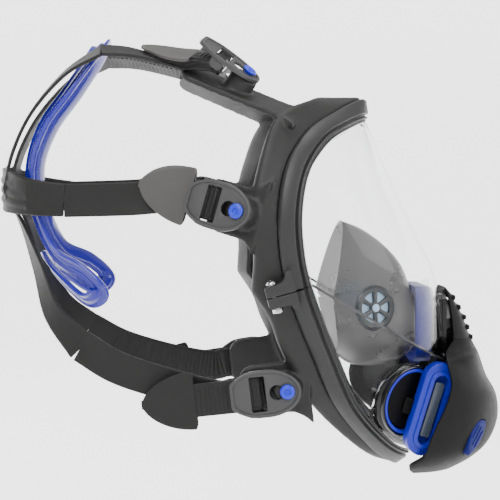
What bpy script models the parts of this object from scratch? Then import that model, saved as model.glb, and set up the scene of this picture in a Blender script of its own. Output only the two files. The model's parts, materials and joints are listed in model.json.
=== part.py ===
"""Full-face respirator with a six-strap head harness.

Lengths are in millimetres and become metres where vertices are made.
The wearer looks along +X, +Z is up, and the wearer's right hand is at -Y.
The origin is the centre of the face opening.
"""
import math

import bmesh
import bpy
from mathutils import Matrix, Vector

MM = 0.001
WELD = 0.00001
GAP = 0.3
SIDES = (("right", -1), ("left", 1))

# Stations round the lens: rim x, rim half-width, rim z, lens crest x, lens crest z,
# lens roundness, seal x, seal half-width, seal z.  The cheek joint splits the frame.
BROW_TO_CHEEK = (
    (43.0, 0.0, 99.0, 44.0, 91.0, 2.0, 14.0, 0.0, 105.0),
    (28.0, 28.0, 92.0, 49.0, 79.0, 2.0, 8.0, 30.0, 103.0),
    (9.0, 54.0, 81.0, 55.0, 65.0, 2.0, -13.0, 54.0, 93.0),
    (-4.0, 69.0, 63.0, 64.0, 45.0, 2.0, -24.0, 68.0, 67.0),
    (-9.0, 76.0, 38.0, 74.0, 23.0, 2.2, -29.0, 74.0, 40.0),
    (-7.5, 76.5, 14.0, 87.0, -6.0, 2.3, -27.0, 74.0, 14.0),
    (-3.5, 75.0, -4.0, 94.0, -56.0, 2.2, -28.0, 72.0, -6.0),
)
CHEEK_TO_CHIN = (
    (-3.5, 75.0, -4.0, 94.0, -56.0, 2.2, -28.0, 72.0, -6.0),
    (2.5, 71.0, -20.0, 94.0, -66.0, 1.75, -18.0, 69.0, -22.0),
    (10.0, 66.0, -38.0, 92.0, -77.0, 1.6, -11.0, 64.0, -41.0),
    (27.0, 51.0, -74.0, 87.0, -92.0, 1.5, 7.0, 51.0, -74.0),
    (52.0, 25.0, -104.0, 80.0, -104.0, 1.7, 36.0, 27.0, -104.0),
    (69.0, 0.0, -117.0, 76.0, -112.0, 2.0, 53.0, 0.0, -117.0),
)
BAND_HALF_WIDTH = 6.0
BAND_THICKNESS = 8.0
LENS_THICKNESS = 2.5
LENS_EDGE_GAP = 1.0
LENS_COLUMNS = 12
LENS_TOP_TRIM = 1
SEAL_THICKNESS = 3.0
SEAL_LIP = 20.0
SEAL_STANDOFF = 2.2

# The bolted cheek joint: lugs on both frame halves, in the frame of the split line.
CHEEK_HALF_WIDTH = 82.0
LUG_LENGTH = 17.0
LUG_WIDTH = 8.0
LUG_HEIGHT = 6.6
LUG_BACK = -20.0
SCREW_BACK = -15.5
SCREW_SHAFT_RADIUS = 1.6
SCREW_HEAD_RADIUS = 3.2
SCREW_HEAD_HEIGHT = 2.2
NUT_RADIUS = 3.2
NUT_HEIGHT = 2.2

# Strap anchorages on the right: stud position, strap-ward axis, outward normal.
ANCHORS = {
    "top": ((-30, -42, 120), (-0.80, 0.05, 0.60), (0.56, -0.35, 0.75)),
    "temple": ((-40, -84, 40), (-0.84, 0.49, 0.24), (0, -1, 0)),
    "neck": ((-10, -71, -64), (-0.986, 0.11, -0.12), (0, -1, 0)),
}
# Degrees by which the strap leaves below the buckle, and the leaf bends back up.
STRAP_PITCH = {"top": 33.0, "temple": 0.0, "neck": 0.0}
LEAF_BEND = {"top": 12.0, "temple": 19.0, "neck": -4.0}
# Ribbed strap end that shows between the buckle and the leaf.
TAIL_RUN = {"top": 0.0, "temple": 0.0, "neck": 20.0}
# Rubber tabs: pitch in degrees, reach past the stud, and root inside the seal.
TAB_PITCH = {"top": 15.0, "temple": 0.0, "neck": 0.0}
TAB_REACH = {"top": 33.0, "temple": 23.0, "neck": 28.0}
TAB_ROOT = {"top": -41.0, "temple": -10.0, "neck": -13.0}
PLATE_THICKNESS = 2.4
BUCKLE_END = 33.0
BUCKLE_END_HALF = 8.0
BUCKLE_HALF_WIDTH = 13.8
BUCKLE_NOSE = -8.0
WINDOW_START = 12.5
WINDOW_END = 21.5
WINDOW_HALF = 10.3
KEYHOLE_CENTRE = 5.9
KEYHOLE_RADIUS = 4.4
STUD_RADIUS = 2.4
STUD_HEAD_RADIUS = 4.3
BAR_A = 17.4
BAR_N = -6.6
BAR_RADIUS = 1.8
CHEEK_SIZE = (8.0, 2.4, 8.4)
STRAP_WIDTH = 19.4
STRAP_THICKNESS = 1.8
STRAP_BEND = 3.0
RUN_END = 31.0
LEAF_LENGTH = 32.0
LEAF_HALF_WIDTH = 17.0
TAB_DEPTH = 13.0
TAB_THICKNESS = 3.4
TAB_HALF_WIDTH = 15.0
BOSS_RADIUS = 8.0

# Strap routes on the right, from the yoke seam to the buckle.
SEAMS = {
    "top": (-115, -40, 132),
    "temple": (-137, -45, 45),
    "neck": (-128, -43, -41),
}
STRAP_WAYPOINTS = {
    "top": ((-98, -38, 131),),
    "temple": ((-98.5, -52.0, 46.2),),
    "neck": ((-107, -48, -53), (-76, -51, -63)),
}
STRAP_START_GAP = 3.6
SEAM_GAP = 2.5
SEAM_NORMALS = {"top": (-0.35, -0.35, 0.87), "temple": (-0.3, -0.95, 0), "neck": (-0.2, -0.98, 0)}

# Harness yoke and crown cradle, right half.
YOKE_THICKNESS = 2.0
RAIL_WIDTH = 15.0
UPPER_RAIL = ((-115.5, -40, 132), (-137, -35, 119), (-157, -29, 97), (-169, -24, 74), (-175, -20, 52))
LOWER_RAIL = ((-175, -20, 50), (-165, -20, 31), (-155, -24, 4), (-146, -33, -22), (-128.5, -43, -41))
BACK_BAND = ((-137.5, -45, 45), (-158, -41, 47), (-172, -26, 50), (-177, 0, 51))
BACK_BAND_WIDTHS = (19.4, 22.0, 26.0, 26.0)
HEAD_CENTRE = Vector((-80.0, 0.0, 50.0))
CRADLE_THICKNESS = 2.4
CRADLE_WIDTH = 12.0
CRADLE_RING = (
    (-117, 0, 138), (-121, -22, 130), (-135, -32, 109), (-150, -32, 88), (-158, -28, 64),
    (-155, -28, 38), (-144, -32, 14), (-127, -42, 4), (-117, -46, -7), (-126, -38, -13),
    (-143, -20, 0), (-151, 0, 8),
)

# Filter ports: direction out of the lens panel, on the right.
PORT_AXIS = (0.50, -0.85, -0.15)
PORT_FACE = (67.0, -47.0, -75.5)
PORT_RADIUS = 22.0
PORT_DEPTH = 17.0
PORT_TUBE_RADIUS = 18.5
PORT_BORE = 16.5
GASKET_OUTER = 20.0
GASKET_INNER = 17.8

# Slotted filter receptacles in front of the ports, on the right.
RECEPTACLE_CENTRE = (78.5, -54.0, -79.5)
RECEPTACLE_NORMAL = (0.17, -0.98, -0.05)
RECEPTACLE_LONG = (-0.29, 0.0, -0.96)
RECEPTACLE_HALF_LENGTH = 28.5
RECEPTACLE_HALF_WIDTH = 10.5
RECEPTACLE_DEPTH = 8.5
SLOT_HALF_LENGTH = 21.5
SLOT_HALF_WIDTH = 4.6
SLOT_DEPTH = 6.7
FLAP_THICKNESS = 1.2
FLAP_INSET = 1.6

# Front cover: level z, rear edge x, half-width, front x.
COVER_LEVELS = (
    (-11.0, 94.5, 11.0, 96.2),
    (-15.0, 95.5, 17.0, 99.5),
    (-28.0, 96.5, 23.0, 107.0),
    (-41.0, 97.0, 26.5, 111.5),
    (-46.0, 88.0, 45.0, 113.5),
    (-50.0, 86.0, 57.5, 115.0),
    (-63.0, 88.0, 61.5, 119.5),
    (-75.0, 85.0, 62.0, 126.5),
    (-87.0, 79.5, 62.0, 128.5),
    (-97.0, 75.5, 61.5, 126.5),
    (-106.0, 73.0, 59.0, 121.5),
    (-114.0, 65.0, 53.0, 113.5),
    (-120.0, 69.0, 42.0, 104.0),
)
COVER_ROUNDNESS = 2.2
COVER_THICKNESS = 2.4
COVER_COLUMNS = 14
GRILLE_SLOTS = 4
GRILLE_TOP_Z = -19.7
GRILLE_PITCH = 6.2
GRILLE_SLOT_HEIGHT = 2.8
GRILLE_HALF_WIDTH = 14.3

# Release buttons in the cover's flanks, on the right.
BUTTON_CENTRE = (104.3, -52.0, -97.0)
BUTTON_NORMAL = (0.60, -0.79, -0.15)
BUTTON_OUTLINE = (
    (-8.4, 7.6), (-0.3, 6.8), (6.8, 3.0), (11.0, -2.6), (9.0, -8.0), (4.0, -7.6), (-2.6, -3.8), (-6.6, 1.2),
)
BUTTON_PROUD = 1.5
BUTTON_DEPTH = 9.0
BUTTON_FLANGE = 1.6
BUTTON_TRAVEL = 2.5
SPRING_RADIUS = 3.0
SPRING_WIRE = 0.8
SPRING_LENGTH = 7.0
SPRING_TURNS = 3
SPRING_SIDES = 7

# Central adapter, valves and diaphragm.
NECK_BACK_X = 83.5
NECK_FRONT_X = 93.5
ADAPTER_FACE_X = 91.0
NECK_HALF_WIDTH = 21.0
NECK_TOP_Z = -14.5
NECK_BOTTOM_Z = -53.0
WALL = 3.0
DIAPHRAGM_CENTRE = (99.0, 0.0, -34.0)
DIAPHRAGM_AXIS = (0.944, 0.0, 0.33)
DIAPHRAGM_RADIUS = 15.5
EXHALE_CENTRE = (106.0, 0.0, -81.0)
EXHALE_AXIS = (0.85, 0.0, -0.53)
EXHALE_RADIUS = 14.0
DUCT_OUTLINE = (
    (90.0, -41.5), (98.8, -41.5), (102.0, -50.0), (107.5, -55.5), (107.5, -76.0),
    (103.3, -85.0), (97.5, -85.0), (97.5, -55.0), (96.0, -52.7), (90.0, -52.7),
)
DUCT_BORE = (
    (88.0, -44.5), (96.5, -44.5), (99.5, -52.0), (104.5, -57.0), (104.5, -75.0),
    (101.5, -82.0), (100.3, -82.0), (100.3, -54.0), (97.5, -50.2), (88.0, -50.2),
)
DUCT_HALF_WIDTH = 14.6

# Nose cup rings: top x, top z, side x, side half-width, side z, bottom x, bottom z.
NOSE_CUP_RINGS = (
    (30, 30, 20, 40, -14, 27, -52),
    (43, 25, 33, 41, -17, 37, -58),
    (56, 16, 45, 36, -21, 52, -59),
    (67, 4, 62, 29, -26, 64, -56),
    (72.4, -10.5, 72.4, 24, -31, 72.4, -51),
)
NOSE_CUP_THICKNESS = 2.0
NOSE_CUP_COLUMNS = 16
VALVE_CENTRE = (46.0, -37.2, -20.0)
VALVE_NORMAL = (0.38, -0.92, 0.05)
VALVE_RADIUS = 12.0
VALVE_SPOKES = 6
COLLAR_BACK_X = 73.6
COLLAR_HALF_WIDTH = 24.5
COLLAR_TOP_Z = -9.0
COLLAR_BOTTOM_Z = -55.0

RUBBER = (0.045, 0.044, 0.043)
DARK_PLASTIC = (0.035, 0.035, 0.036)
GREY_PLASTIC = (0.14, 0.14, 0.14)
BLUE_PLASTIC = (0.03, 0.05, 0.45)
CLEAR = (0.9, 0.93, 0.95)
SILICONE = (0.35, 0.34, 0.34)
METAL = (0.6, 0.6, 0.6)


def clear_scene():
    for obj in list(bpy.data.objects):
        bpy.data.objects.remove(obj, do_unlink=True)


def collection(name):
    made = bpy.data.collections.new(name)
    bpy.context.scene.collection.children.link(made)
    return made


def material(name, colour, roughness=0.5, metallic=0.0, alpha=1.0):
    made = bpy.data.materials.new(name)
    made.use_nodes = True
    shader = made.node_tree.nodes["Principled BSDF"]
    shader.inputs["Base Color"].default_value = (*colour, 1.0)
    shader.inputs["Roughness"].default_value = roughness
    shader.inputs["Metallic"].default_value = metallic
    shader.inputs["Alpha"].default_value = alpha
    return made


def mirrored(point, side):
    """A right-hand point or direction, taken to the wanted side."""
    return Vector((point[0], -side * point[1], point[2]))


def placement(origin, normal, along):
    """Matrix with local z on the normal and local x as near to `along` as it can be."""
    z = Vector(normal).normalized()
    x = Vector(along)
    x = (x - z * x.dot(z)).normalized()
    y = z.cross(x)
    turn = Matrix((x, y, z)).transposed().to_4x4()
    return Matrix.Translation(Vector(origin) * MM) @ turn


def add_object(name, mesh, group, surface=None, matrix=None):
    obj = bpy.data.objects.new(name, mesh)
    group.objects.link(obj)
    if matrix is not None:
        obj.matrix_world = matrix
    if surface is not None:
        mesh.materials.append(surface)
    return obj


def grid_object(name, rows, group, surface, wrap_rows=False, wrap_columns=False):
    """Open surface through rows of points, which may close on themselves."""
    mesh = bpy.data.meshes.new(name)
    build = bmesh.new()
    verts = [[build.verts.new(Vector(point) * MM) for point in row] for row in rows]
    row_count = len(rows) if wrap_rows else len(rows) - 1
    column_count = len(rows[0]) if wrap_columns else len(rows[0]) - 1
    for r in range(row_count):
        upper, lower = verts[r], verts[(r + 1) % len(rows)]
        for c in range(column_count):
            following = (c + 1) % len(upper)
            build.faces.new((upper[c], upper[following], lower[following], lower[c]))
    bmesh.ops.remove_doubles(build, verts=build.verts, dist=WELD)
    build.to_mesh(mesh)
    build.free()
    return add_object(name, mesh, group, surface)


def thicken(obj, thickness, offset=0.0):
    shell = obj.modifiers.new("thickness", "SOLIDIFY")
    shell.thickness = thickness * MM
    shell.offset = offset
    return obj


def polygon_curve(name, outlines, depth, group):
    curve = bpy.data.curves.new(name, "CURVE")
    curve.dimensions = "2D"
    curve.fill_mode = "BOTH"
    curve.extrude = depth * MM / 2
    for outline in outlines:
        spline = curve.splines.new("POLY")
        spline.points.add(len(outline) - 1)
        for point, (x, y) in zip(spline.points, outline):
            point.co = (x * MM, y * MM, 0.0, 1.0)
        spline.use_cyclic_u = True
    obj = bpy.data.objects.new(name, curve)
    group.objects.link(obj)
    return obj


def curve_to_mesh(source, name, group, surface, matrix):
    bpy.context.view_layer.update()
    depsgraph = bpy.context.evaluated_depsgraph_get()
    mesh = bpy.data.meshes.new_from_object(source.evaluated_get(depsgraph))
    bpy.data.objects.remove(source, do_unlink=True)
    build = bmesh.new()
    build.from_mesh(mesh)
    bmesh.ops.remove_doubles(build, verts=build.verts, dist=WELD)
    bmesh.ops.recalc_face_normals(build, faces=build.faces)
    build.to_mesh(mesh)
    build.free()
    mesh.materials.clear()
    return add_object(name, mesh, group, surface, matrix)


def plate(name, outlines, low, high, group, surface, matrix):
    """Flat outline extruded from `low` to `high` on the local z axis."""
    source = polygon_curve(name + "_outline", outlines, high - low, group)
    lift = Matrix.Translation((0.0, 0.0, (low + high) / 2 * MM))
    return curve_to_mesh(source, name, group, surface, matrix @ lift)


def turned(name, profile, group, surface, matrix, steps=20):
    """Turned solid; the profile runs down its outer side."""
    mesh = bpy.data.meshes.new(name)
    points = [(radius * MM, 0.0, height * MM) for radius, height in profile]
    closed = profile[0][0] > 0.0
    edges = [(i, i + 1) for i in range(len(points) - 1)]
    if closed:
        edges.append((len(points) - 1, 0))
    mesh.from_pydata(points, edges, [])
    obj = add_object(name, mesh, group, surface, matrix)
    screw = obj.modifiers.new("turn", "SCREW")
    screw.axis = "Z"
    screw.steps = steps
    screw.render_steps = steps
    screw.use_merge_vertices = True
    screw.merge_threshold = WELD
    return obj


def cylinder(name, radius, low, high, group, matrix, steps=16):
    profile = ((0.0, high), (radius, high), (radius, low), (0.0, low))
    return turned(name, profile, group, None, matrix, steps)


def box(name, low, high, group, surface=None):
    size = Vector(high) - Vector(low)
    centre = (Vector(high) + Vector(low)) / 2
    mesh = bpy.data.meshes.new(name)
    build = bmesh.new()
    bmesh.ops.create_cube(build, size=1.0)
    bmesh.ops.scale(build, vec=size * MM, verts=build.verts)
    bmesh.ops.translate(build, vec=centre * MM, verts=build.verts)
    build.to_mesh(mesh)
    build.free()
    return add_object(name, mesh, group, surface)


def combine(obj, tool, operation):
    """Boolean with a tool that stays in the cutters' collection, unseen."""
    step = obj.modifiers.new(operation.lower(), "BOOLEAN")
    step.operation = operation
    step.object = tool
    tidy = obj.modifiers.new("tidy", "WELD")
    tidy.merge_threshold = WELD
    tool.hide_render = True
    tool.display_type = "WIRE"


def smooth(rows, steps, before=None, after=None):
    """Catmull-Rom samples through rows of numbers."""
    first = before or tuple(2 * a - b for a, b in zip(rows[0], rows[1]))
    last = after or tuple(2 * a - b for a, b in zip(rows[-1], rows[-2]))
    padded = [first, *rows, last]
    samples = []
    for i in range(1, len(padded) - 2):
        p0, p1, p2, p3 = padded[i - 1:i + 3]
        for k in range(steps):
            t = k / steps
            samples.append(tuple(
                0.5 * (2 * b + (c - a) * t + (2 * a - 5 * b + 4 * c - d) * t * t
                       + (3 * b - a - 3 * c + d) * t ** 3)
                for a, b, c, d in zip(p0, p1, p2, p3)))
    samples.append(tuple(rows[-1]))
    return samples


def arc(x, y, radius, start, end, steps):
    """Points on an arc, angles in degrees."""
    angles = [math.radians(start + (end - start) * i / steps) for i in range(steps + 1)]
    return [(x + radius * math.cos(a), y + radius * math.sin(a)) for a in angles]


def stadium(half_length, half_width, steps=8):
    """Rounded slot shape, long on x."""
    reach = half_length - half_width
    return arc(reach, 0, half_width, -90, 90, steps) + arc(-reach, 0, half_width, 90, 270, steps)


def rounded_rectangle(low, high, radius, steps=5):
    (x0, y0), (x1, y1) = low, high
    corners = ((x1 - radius, y0 + radius, -90), (x1 - radius, y1 - radius, 0),
               (x0 + radius, y1 - radius, 90), (x0 + radius, y0 + radius, 180))
    return [point for x, y, start in corners for point in arc(x, y, radius, start, start + 90, steps)]


def ribbon(name, samples, group, surface, thickness):
    """Band through samples of (point, normal, width)."""
    rows = []
    for i, (point, normal, width) in enumerate(samples):
        ahead = Vector(samples[min(i + 1, len(samples) - 1)][0])
        behind = Vector(samples[max(i - 1, 0)][0])
        across = (ahead - behind).cross(Vector(normal)).normalized()
        rows.append((Vector(point) - across * width / 2, Vector(point) + across * width / 2))
    return thicken(grid_object(name, rows, group, surface), thickness)


def flip_station(row):
    return tuple(-value if i in (1, 7) else value for i, value in enumerate(row))


def rim_samples(steps):
    """Samples from brow to cheek and from cheek to chin, each with the band's direction added."""
    upper = smooth(BROW_TO_CHEEK, steps, before=flip_station(BROW_TO_CHEEK[1]))
    lower = smooth(CHEEK_TO_CHIN, steps, after=flip_station(CHEEK_TO_CHIN[-2]))
    whole = [flip_station(upper[1]), *upper, *lower[1:], flip_station(lower[-2])]
    directed = []
    for behind, row, ahead in zip(whole, whole[1:], whole[2:]):
        along = (Vector(ahead[:3]) - Vector(behind[:3])).normalized()
        to_crest = Vector((row[3] - row[0], 0.0, row[4] - row[2])).normalized()
        across = (to_crest - along * to_crest.dot(along)).normalized()
        directed.append((*row, *across))
    return directed[:len(upper)], directed[len(upper) - 1:]


def rim_point(row, side, offset):
    """Point on the band's middle surface, `offset` towards the lens."""
    x, y, z = (place + across * offset for place, across in zip(row[:3], row[9:]))
    return Vector((x, side * y, z))


def cheek_axes(side):
    """Frame at the cheek joint: local x forward along the split, local z up the rim."""
    row = rim_samples(1)[0][-1]
    forward = (row[9], 0.0, row[11])
    return placement((row[0], side * CHEEK_HALF_WIDTH, row[2]), (-row[11], 0.0, row[9]), forward)


def frame_half(name, samples, group, surface):
    """One moulding of the lens frame, from cheek over the middle to the other cheek."""
    path = [(row, -1) for row in reversed(samples)] + [(row, 1) for row in samples[1:]]
    rows = [(rim_point(row, side, -BAND_HALF_WIDTH), rim_point(row, side, BAND_HALF_WIDTH))
            for row, side in path]
    return thicken(grid_object(name, rows, group, surface), BAND_THICKNESS)


def trimmed(samples, end, amount):
    """Samples with one end moved `amount` inward along the rim."""
    near, beyond = (samples[0], samples[1]) if end == 0 else (samples[-1], samples[-2])
    span = (Vector(beyond[:3]) - Vector(near[:3])).length
    share = amount / span
    moved = tuple(a + (b - a) * share for a, b in zip(near, beyond))
    return [moved, *samples[1:]] if end == 0 else [*samples[:-1], moved]


def build_frame(parts, cutters):
    plastic = material("frame_plastic", DARK_PLASTIC, 0.5)
    steel = material("screw_steel", METAL, 0.25, 1.0)
    upper, lower = rim_samples(2)
    top = frame_half("upper_frame", trimmed(upper, -1, GAP), parts, plastic)
    # The chin half is reversed, so that its path also runs from cheek to cheek.
    bottom = frame_half("lower_frame", trimmed(lower, 0, GAP)[::-1], parts, plastic)
    for label, side in SIDES:
        axes = cheek_axes(side)
        for half, low in ((top, GAP), (bottom, -GAP - LUG_HEIGHT)):
            lug = box(half.name + "_lug_" + label, (LUG_BACK, -LUG_WIDTH / 2, low),
                      (LUG_BACK + LUG_LENGTH, LUG_WIDTH / 2, low + LUG_HEIGHT), cutters)
            lug.matrix_world = axes
            combine(half, lug, "UNION")
        axes = axes @ Matrix.Translation((SCREW_BACK * MM, 0.0, 0.0))
        hole = cylinder("screw_hole_" + label, SCREW_SHAFT_RADIUS + GAP, -12, 12, cutters, axes, 10)
        combine(top, hole, "DIFFERENCE")
        combine(bottom, hole, "DIFFERENCE")
        seat = LUG_HEIGHT + 2 * GAP
        profile = ((0, seat + SCREW_HEAD_HEIGHT), (1.6, seat + SCREW_HEAD_HEIGHT),
                   (SCREW_HEAD_RADIUS, seat + 0.8), (SCREW_HEAD_RADIUS, seat),
                   (SCREW_SHAFT_RADIUS, seat), (SCREW_SHAFT_RADIUS, -seat - NUT_HEIGHT - 0.4),
                   (0, -seat - NUT_HEIGHT - 0.4))
        turned("frame_screw_" + label, profile, parts, steel, axes, 12)
        ring = ((NUT_RADIUS, -seat), (NUT_RADIUS, -seat - NUT_HEIGHT),
                (SCREW_SHAFT_RADIUS + GAP, -seat - NUT_HEIGHT), (SCREW_SHAFT_RADIUS + GAP, -seat))
        turned("frame_nut_" + label, ring, parts, steel, axes, 6)


def lens_row(row):
    """Section of the lens from the right rim over the crest to the left rim."""
    start = rim_point(row, 1, BAND_HALF_WIDTH + LENS_EDGE_GAP)
    crest = Vector((row[3], 0.0, row[4]))
    points = []
    for i in range(LENS_COLUMNS + 1):
        angle = math.pi * (i / LENS_COLUMNS - 0.5)
        across = math.copysign(abs(math.sin(angle)) ** (2 / row[5]), angle) * start.y
        reach = max(math.cos(angle), 0.0) ** (2 / row[5])
        point = start.lerp(crest, reach)
        points.append((point.x, across, point.z))
    return points


def build_lens(parts, cutters):
    clear = material("lens_polycarbonate", CLEAR, 0.05, 0.0, 0.25)
    upper, lower = rim_samples(2)
    rows = [lens_row(row) for row in upper[LENS_TOP_TRIM:] + lower[1:-LENS_TOP_TRIM]]
    lens = thicken(grid_object("lens", rows, parts, clear), LENS_THICKNESS)
    for label, side in SIDES:
        axis = placement(mirrored(PORT_FACE, side), mirrored(PORT_AXIS, side), (0, 0, 1))
        hole = cylinder("port_hole_" + label, PORT_RADIUS + 2 * GAP, -30, 12, cutters, axis)
        combine(lens, hole, "DIFFERENCE")
    margin = 2 * GAP
    opening = rounded_rectangle((NECK_BOTTOM_Z - margin, -NECK_HALF_WIDTH - margin),
                                (NECK_TOP_Z + margin, NECK_HALF_WIDTH + margin), 6.6)
    cutter = plate("neck_hole", [opening], 60, 120, cutters, None, neck_axes())
    combine(lens, cutter, "DIFFERENCE")


def neck_axes():
    """Local x is world z, local y is world y reversed, and local z is world x."""
    return placement((0, 0, 0), (1, 0, 0), (0, 0, 1))


def seal_rows(samples):
    """Sections of the face seal: wall, rolled edge and lip towards the face opening."""
    rows = []
    for row, side in samples:
        front = rim_point(row, side, -BAND_HALF_WIDTH - SEAL_STANDOFF)
        back = Vector((row[6], side * row[7], row[8]))
        inward = Vector((8.0, 0.0, -5.0)) - back
        inward.x *= 0.25
        inward.normalize()
        depth = (front - back)
        rows.append((
            front,
            back + depth * 0.45 - inward * 0.3,
            back,
            back + inward * SEAL_LIP * 0.3 - depth.normalized() * 1.5,
            back + inward * SEAL_LIP + depth.normalized() * 2.0,
        ))
    return rows


def anchor(kind, side):
    """Frame of one strap anchorage: local x strap-ward, local z outward."""
    origin, along, normal = ANCHORS[kind]
    along = mirrored(along, side).normalized()
    normal = mirrored(normal, side)
    normal = normal - along * normal.dot(along)
    return placement(mirrored(origin, side), normal, along)


def tab_axes(kind, side):
    """Frame of the rubber tab under a buckle, pitched about the foot of the stud."""
    pitch = math.radians(TAB_PITCH[kind])
    foot = Matrix.Translation((0.0, 0.0, -TAB_DEPTH * MM))
    return anchor(kind, side) @ foot @ Matrix.Rotation(pitch, 4, "Y")


def tab_outline(kind):
    """Tongue with a full round end, wider where it grows out of the seal."""
    tip = arc(TAB_REACH[kind] - TAB_HALF_WIDTH, 0, TAB_HALF_WIDTH, -70, 70, 5)
    root = TAB_ROOT[kind]
    return [(root, -TAB_HALF_WIDTH - 1), *tip, (root, TAB_HALF_WIDTH + 1)]


def build_seal(parts, cutters):
    rubber = material("seal_rubber", RUBBER, 0.6)
    upper, lower = rim_samples(2)
    half = upper + lower[1:]
    ring = [(row, -1) for row in half] + [(row, 1) for row in reversed(half[1:-1])]
    seal = grid_object("face_seal", seal_rows(ring), parts, rubber, wrap_rows=True)
    thicken(seal, SEAL_THICKNESS)
    for kind in ANCHORS:
        for label, side in SIDES:
            name = kind + "_" + label
            axes = tab_axes(kind, side)
            tab = plate("tab_" + name, [tab_outline(kind)], -TAB_THICKNESS, 0.0, cutters, None, axes)
            combine(seal, tab, "UNION")
            stud = anchor(kind, side)
            boss_top = -PLATE_THICKNESS - GAP
            boss = cylinder("boss_" + name, BOSS_RADIUS, -TAB_DEPTH - 2.0, boss_top, cutters, stud, 12)
            combine(seal, boss, "UNION")
            bore = cylinder("bore_" + name, STUD_RADIUS + GAP, -TAB_DEPTH + 0.5, 2.0, cutters, stud, 8)
            combine(seal, bore, "DIFFERENCE")


def buckle_outline():
    """Shield shape: an elliptic nose round the stud and a squared strap end."""
    middle = 12.0
    reach = middle - BUCKLE_NOSE
    nose = []
    for i in range(11):
        angle = math.radians(90 + 180 * i / 10)
        nose.append((middle + reach * math.cos(angle), BUCKLE_HALF_WIDTH * math.sin(angle)))
    end = [(23.0, -13.2), (BUCKLE_END, -BUCKLE_END_HALF), (BUCKLE_END, BUCKLE_END_HALF), (23.0, 13.2)]
    return nose + end


def keyhole_outline():
    """Round hole for the stud's head, running into a slot for its neck."""
    neck = STUD_RADIUS + GAP
    meet = math.degrees(math.asin(neck / KEYHOLE_RADIUS))
    big = arc(KEYHOLE_CENTRE, 0, KEYHOLE_RADIUS, -180 + meet, 180 - meet, 10)
    return big + arc(0, 0, neck, 90, 270, 5)


def buckle_mesh(cutters, plastic):
    """One buckle made at the origin, for all six to share."""
    window = rounded_rectangle((WINDOW_START, -WINDOW_HALF), (WINDOW_END, WINDOW_HALF), 1.0, 2)
    master = plate("buckle_master", [buckle_outline(), window, keyhole_outline()],
                   -PLATE_THICKNESS, 0.0, cutters, plastic, Matrix())
    for label, side in SIDES:
        centre = Vector((BAR_A, side * (WINDOW_HALF + 1.4), BAR_N / 2 - 1.5))
        reach = Vector(CHEEK_SIZE) / 2
        cheek = box("cheek_" + label, centre - reach, centre + reach, cutters)
        combine(master, cheek, "UNION")
    across = placement((BAR_A, 0, BAR_N), (0, 1, 0), (1, 0, 0))
    bar = cylinder("bar", BAR_RADIUS, -WINDOW_HALF - 1.0, WINDOW_HALF + 1.0, cutters, across, 10)
    combine(master, bar, "UNION")
    bpy.context.view_layer.update()
    depsgraph = bpy.context.evaluated_depsgraph_get()
    mesh = bpy.data.meshes.new_from_object(master.evaluated_get(depsgraph))
    mesh.transform(master.matrix_world)
    bpy.data.objects.remove(master, do_unlink=True)
    mesh.name = "buckle"
    return mesh


def build_stud(name, axes, parts, plastic):
    foot = -TAB_DEPTH + 0.8
    profile = ((0, 1.2), (1.8, 1.2), (2.2, 2.0), (3.4, 2.0), (STUD_HEAD_RADIUS, 1.2),
               (STUD_HEAD_RADIUS, GAP), (STUD_RADIUS, GAP), (STUD_RADIUS, foot), (0, foot))
    turned("stud_" + name, profile, parts, plastic, axes, 10)


def tail_samples(kind):
    """Path of the strap end in the buckle: under the bar, round it, back, and the leaf.

    Each sample is (distance, height, half-width) in the buckle's frame.
    """
    half = STRAP_WIDTH / 2
    run = RUN_END - BAR_A
    path = [(run, -STRAP_BEND, half), (run * 0.5, -STRAP_BEND, half), (0.0, -STRAP_BEND, half)]
    for i in range(1, 8):
        angle = math.radians(270 - 180 * i / 8)
        path.append((STRAP_BEND * math.cos(angle), STRAP_BEND * math.sin(angle), half))
    path.append((0.0, STRAP_BEND, half))
    path.append((run * 0.6, STRAP_BEND, half))
    path.append((run, STRAP_BEND, half * 0.8))
    tail_bend = math.radians(LEAF_BEND[kind] / 2)
    a = run + 2.4 + TAIL_RUN[kind] * math.cos(tail_bend)
    n = STRAP_BEND + TAIL_RUN[kind] * math.sin(tail_bend)
    if TAIL_RUN[kind] > 0.0:
        path.append((a - 2.0, n, half * 0.8))
    for i in range(9):
        share = i / 8
        width = LEAF_HALF_WIDTH * (1 - share ** 2.2) ** 0.6
        path.append((a, n, max(width, 4.0)))
        bend = math.radians(LEAF_BEND[kind] * min(2 * share, 1.0) - 3.5)
        a += LEAF_LENGTH / 8 * math.cos(bend)
        n += LEAF_LENGTH / 8 * math.sin(bend)
    turn = math.radians(-STRAP_PITCH[kind])
    turned_path = []
    for a, n, width in path:
        turned_path.append((BAR_A + a * math.cos(turn) - n * math.sin(turn),
                            BAR_N + a * math.sin(turn) + n * math.cos(turn), width))
    return turned_path


def build_tail(name, axes, kind, parts, rubber):
    rows = []
    for a, n, half in tail_samples(kind):
        rows.append(((a, -half, n), (a, half, n)))
    tail = grid_object("strap_tail_" + name, rows, parts, rubber)
    tail.matrix_world = axes
    thicken(tail, STRAP_THICKNESS)


def strap_run_start(kind, side):
    """Point and directions where the standing strap ends below the buckle."""
    turn = math.radians(-STRAP_PITCH[kind])
    reach = RUN_END - BAR_A + STRAP_START_GAP
    a = BAR_A + reach * math.cos(turn) + STRAP_BEND * math.sin(turn)
    n = BAR_N + reach * math.sin(turn) - STRAP_BEND * math.cos(turn)
    axes = anchor(kind, side)
    normal = axes.to_3x3() @ Vector((-math.sin(turn), 0.0, math.cos(turn)))
    along = axes.to_3x3() @ Vector((math.cos(turn), 0.0, math.sin(turn)))
    point = axes @ (Vector((a, 0.0, n)) * MM) / MM
    return point, normal, along


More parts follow.
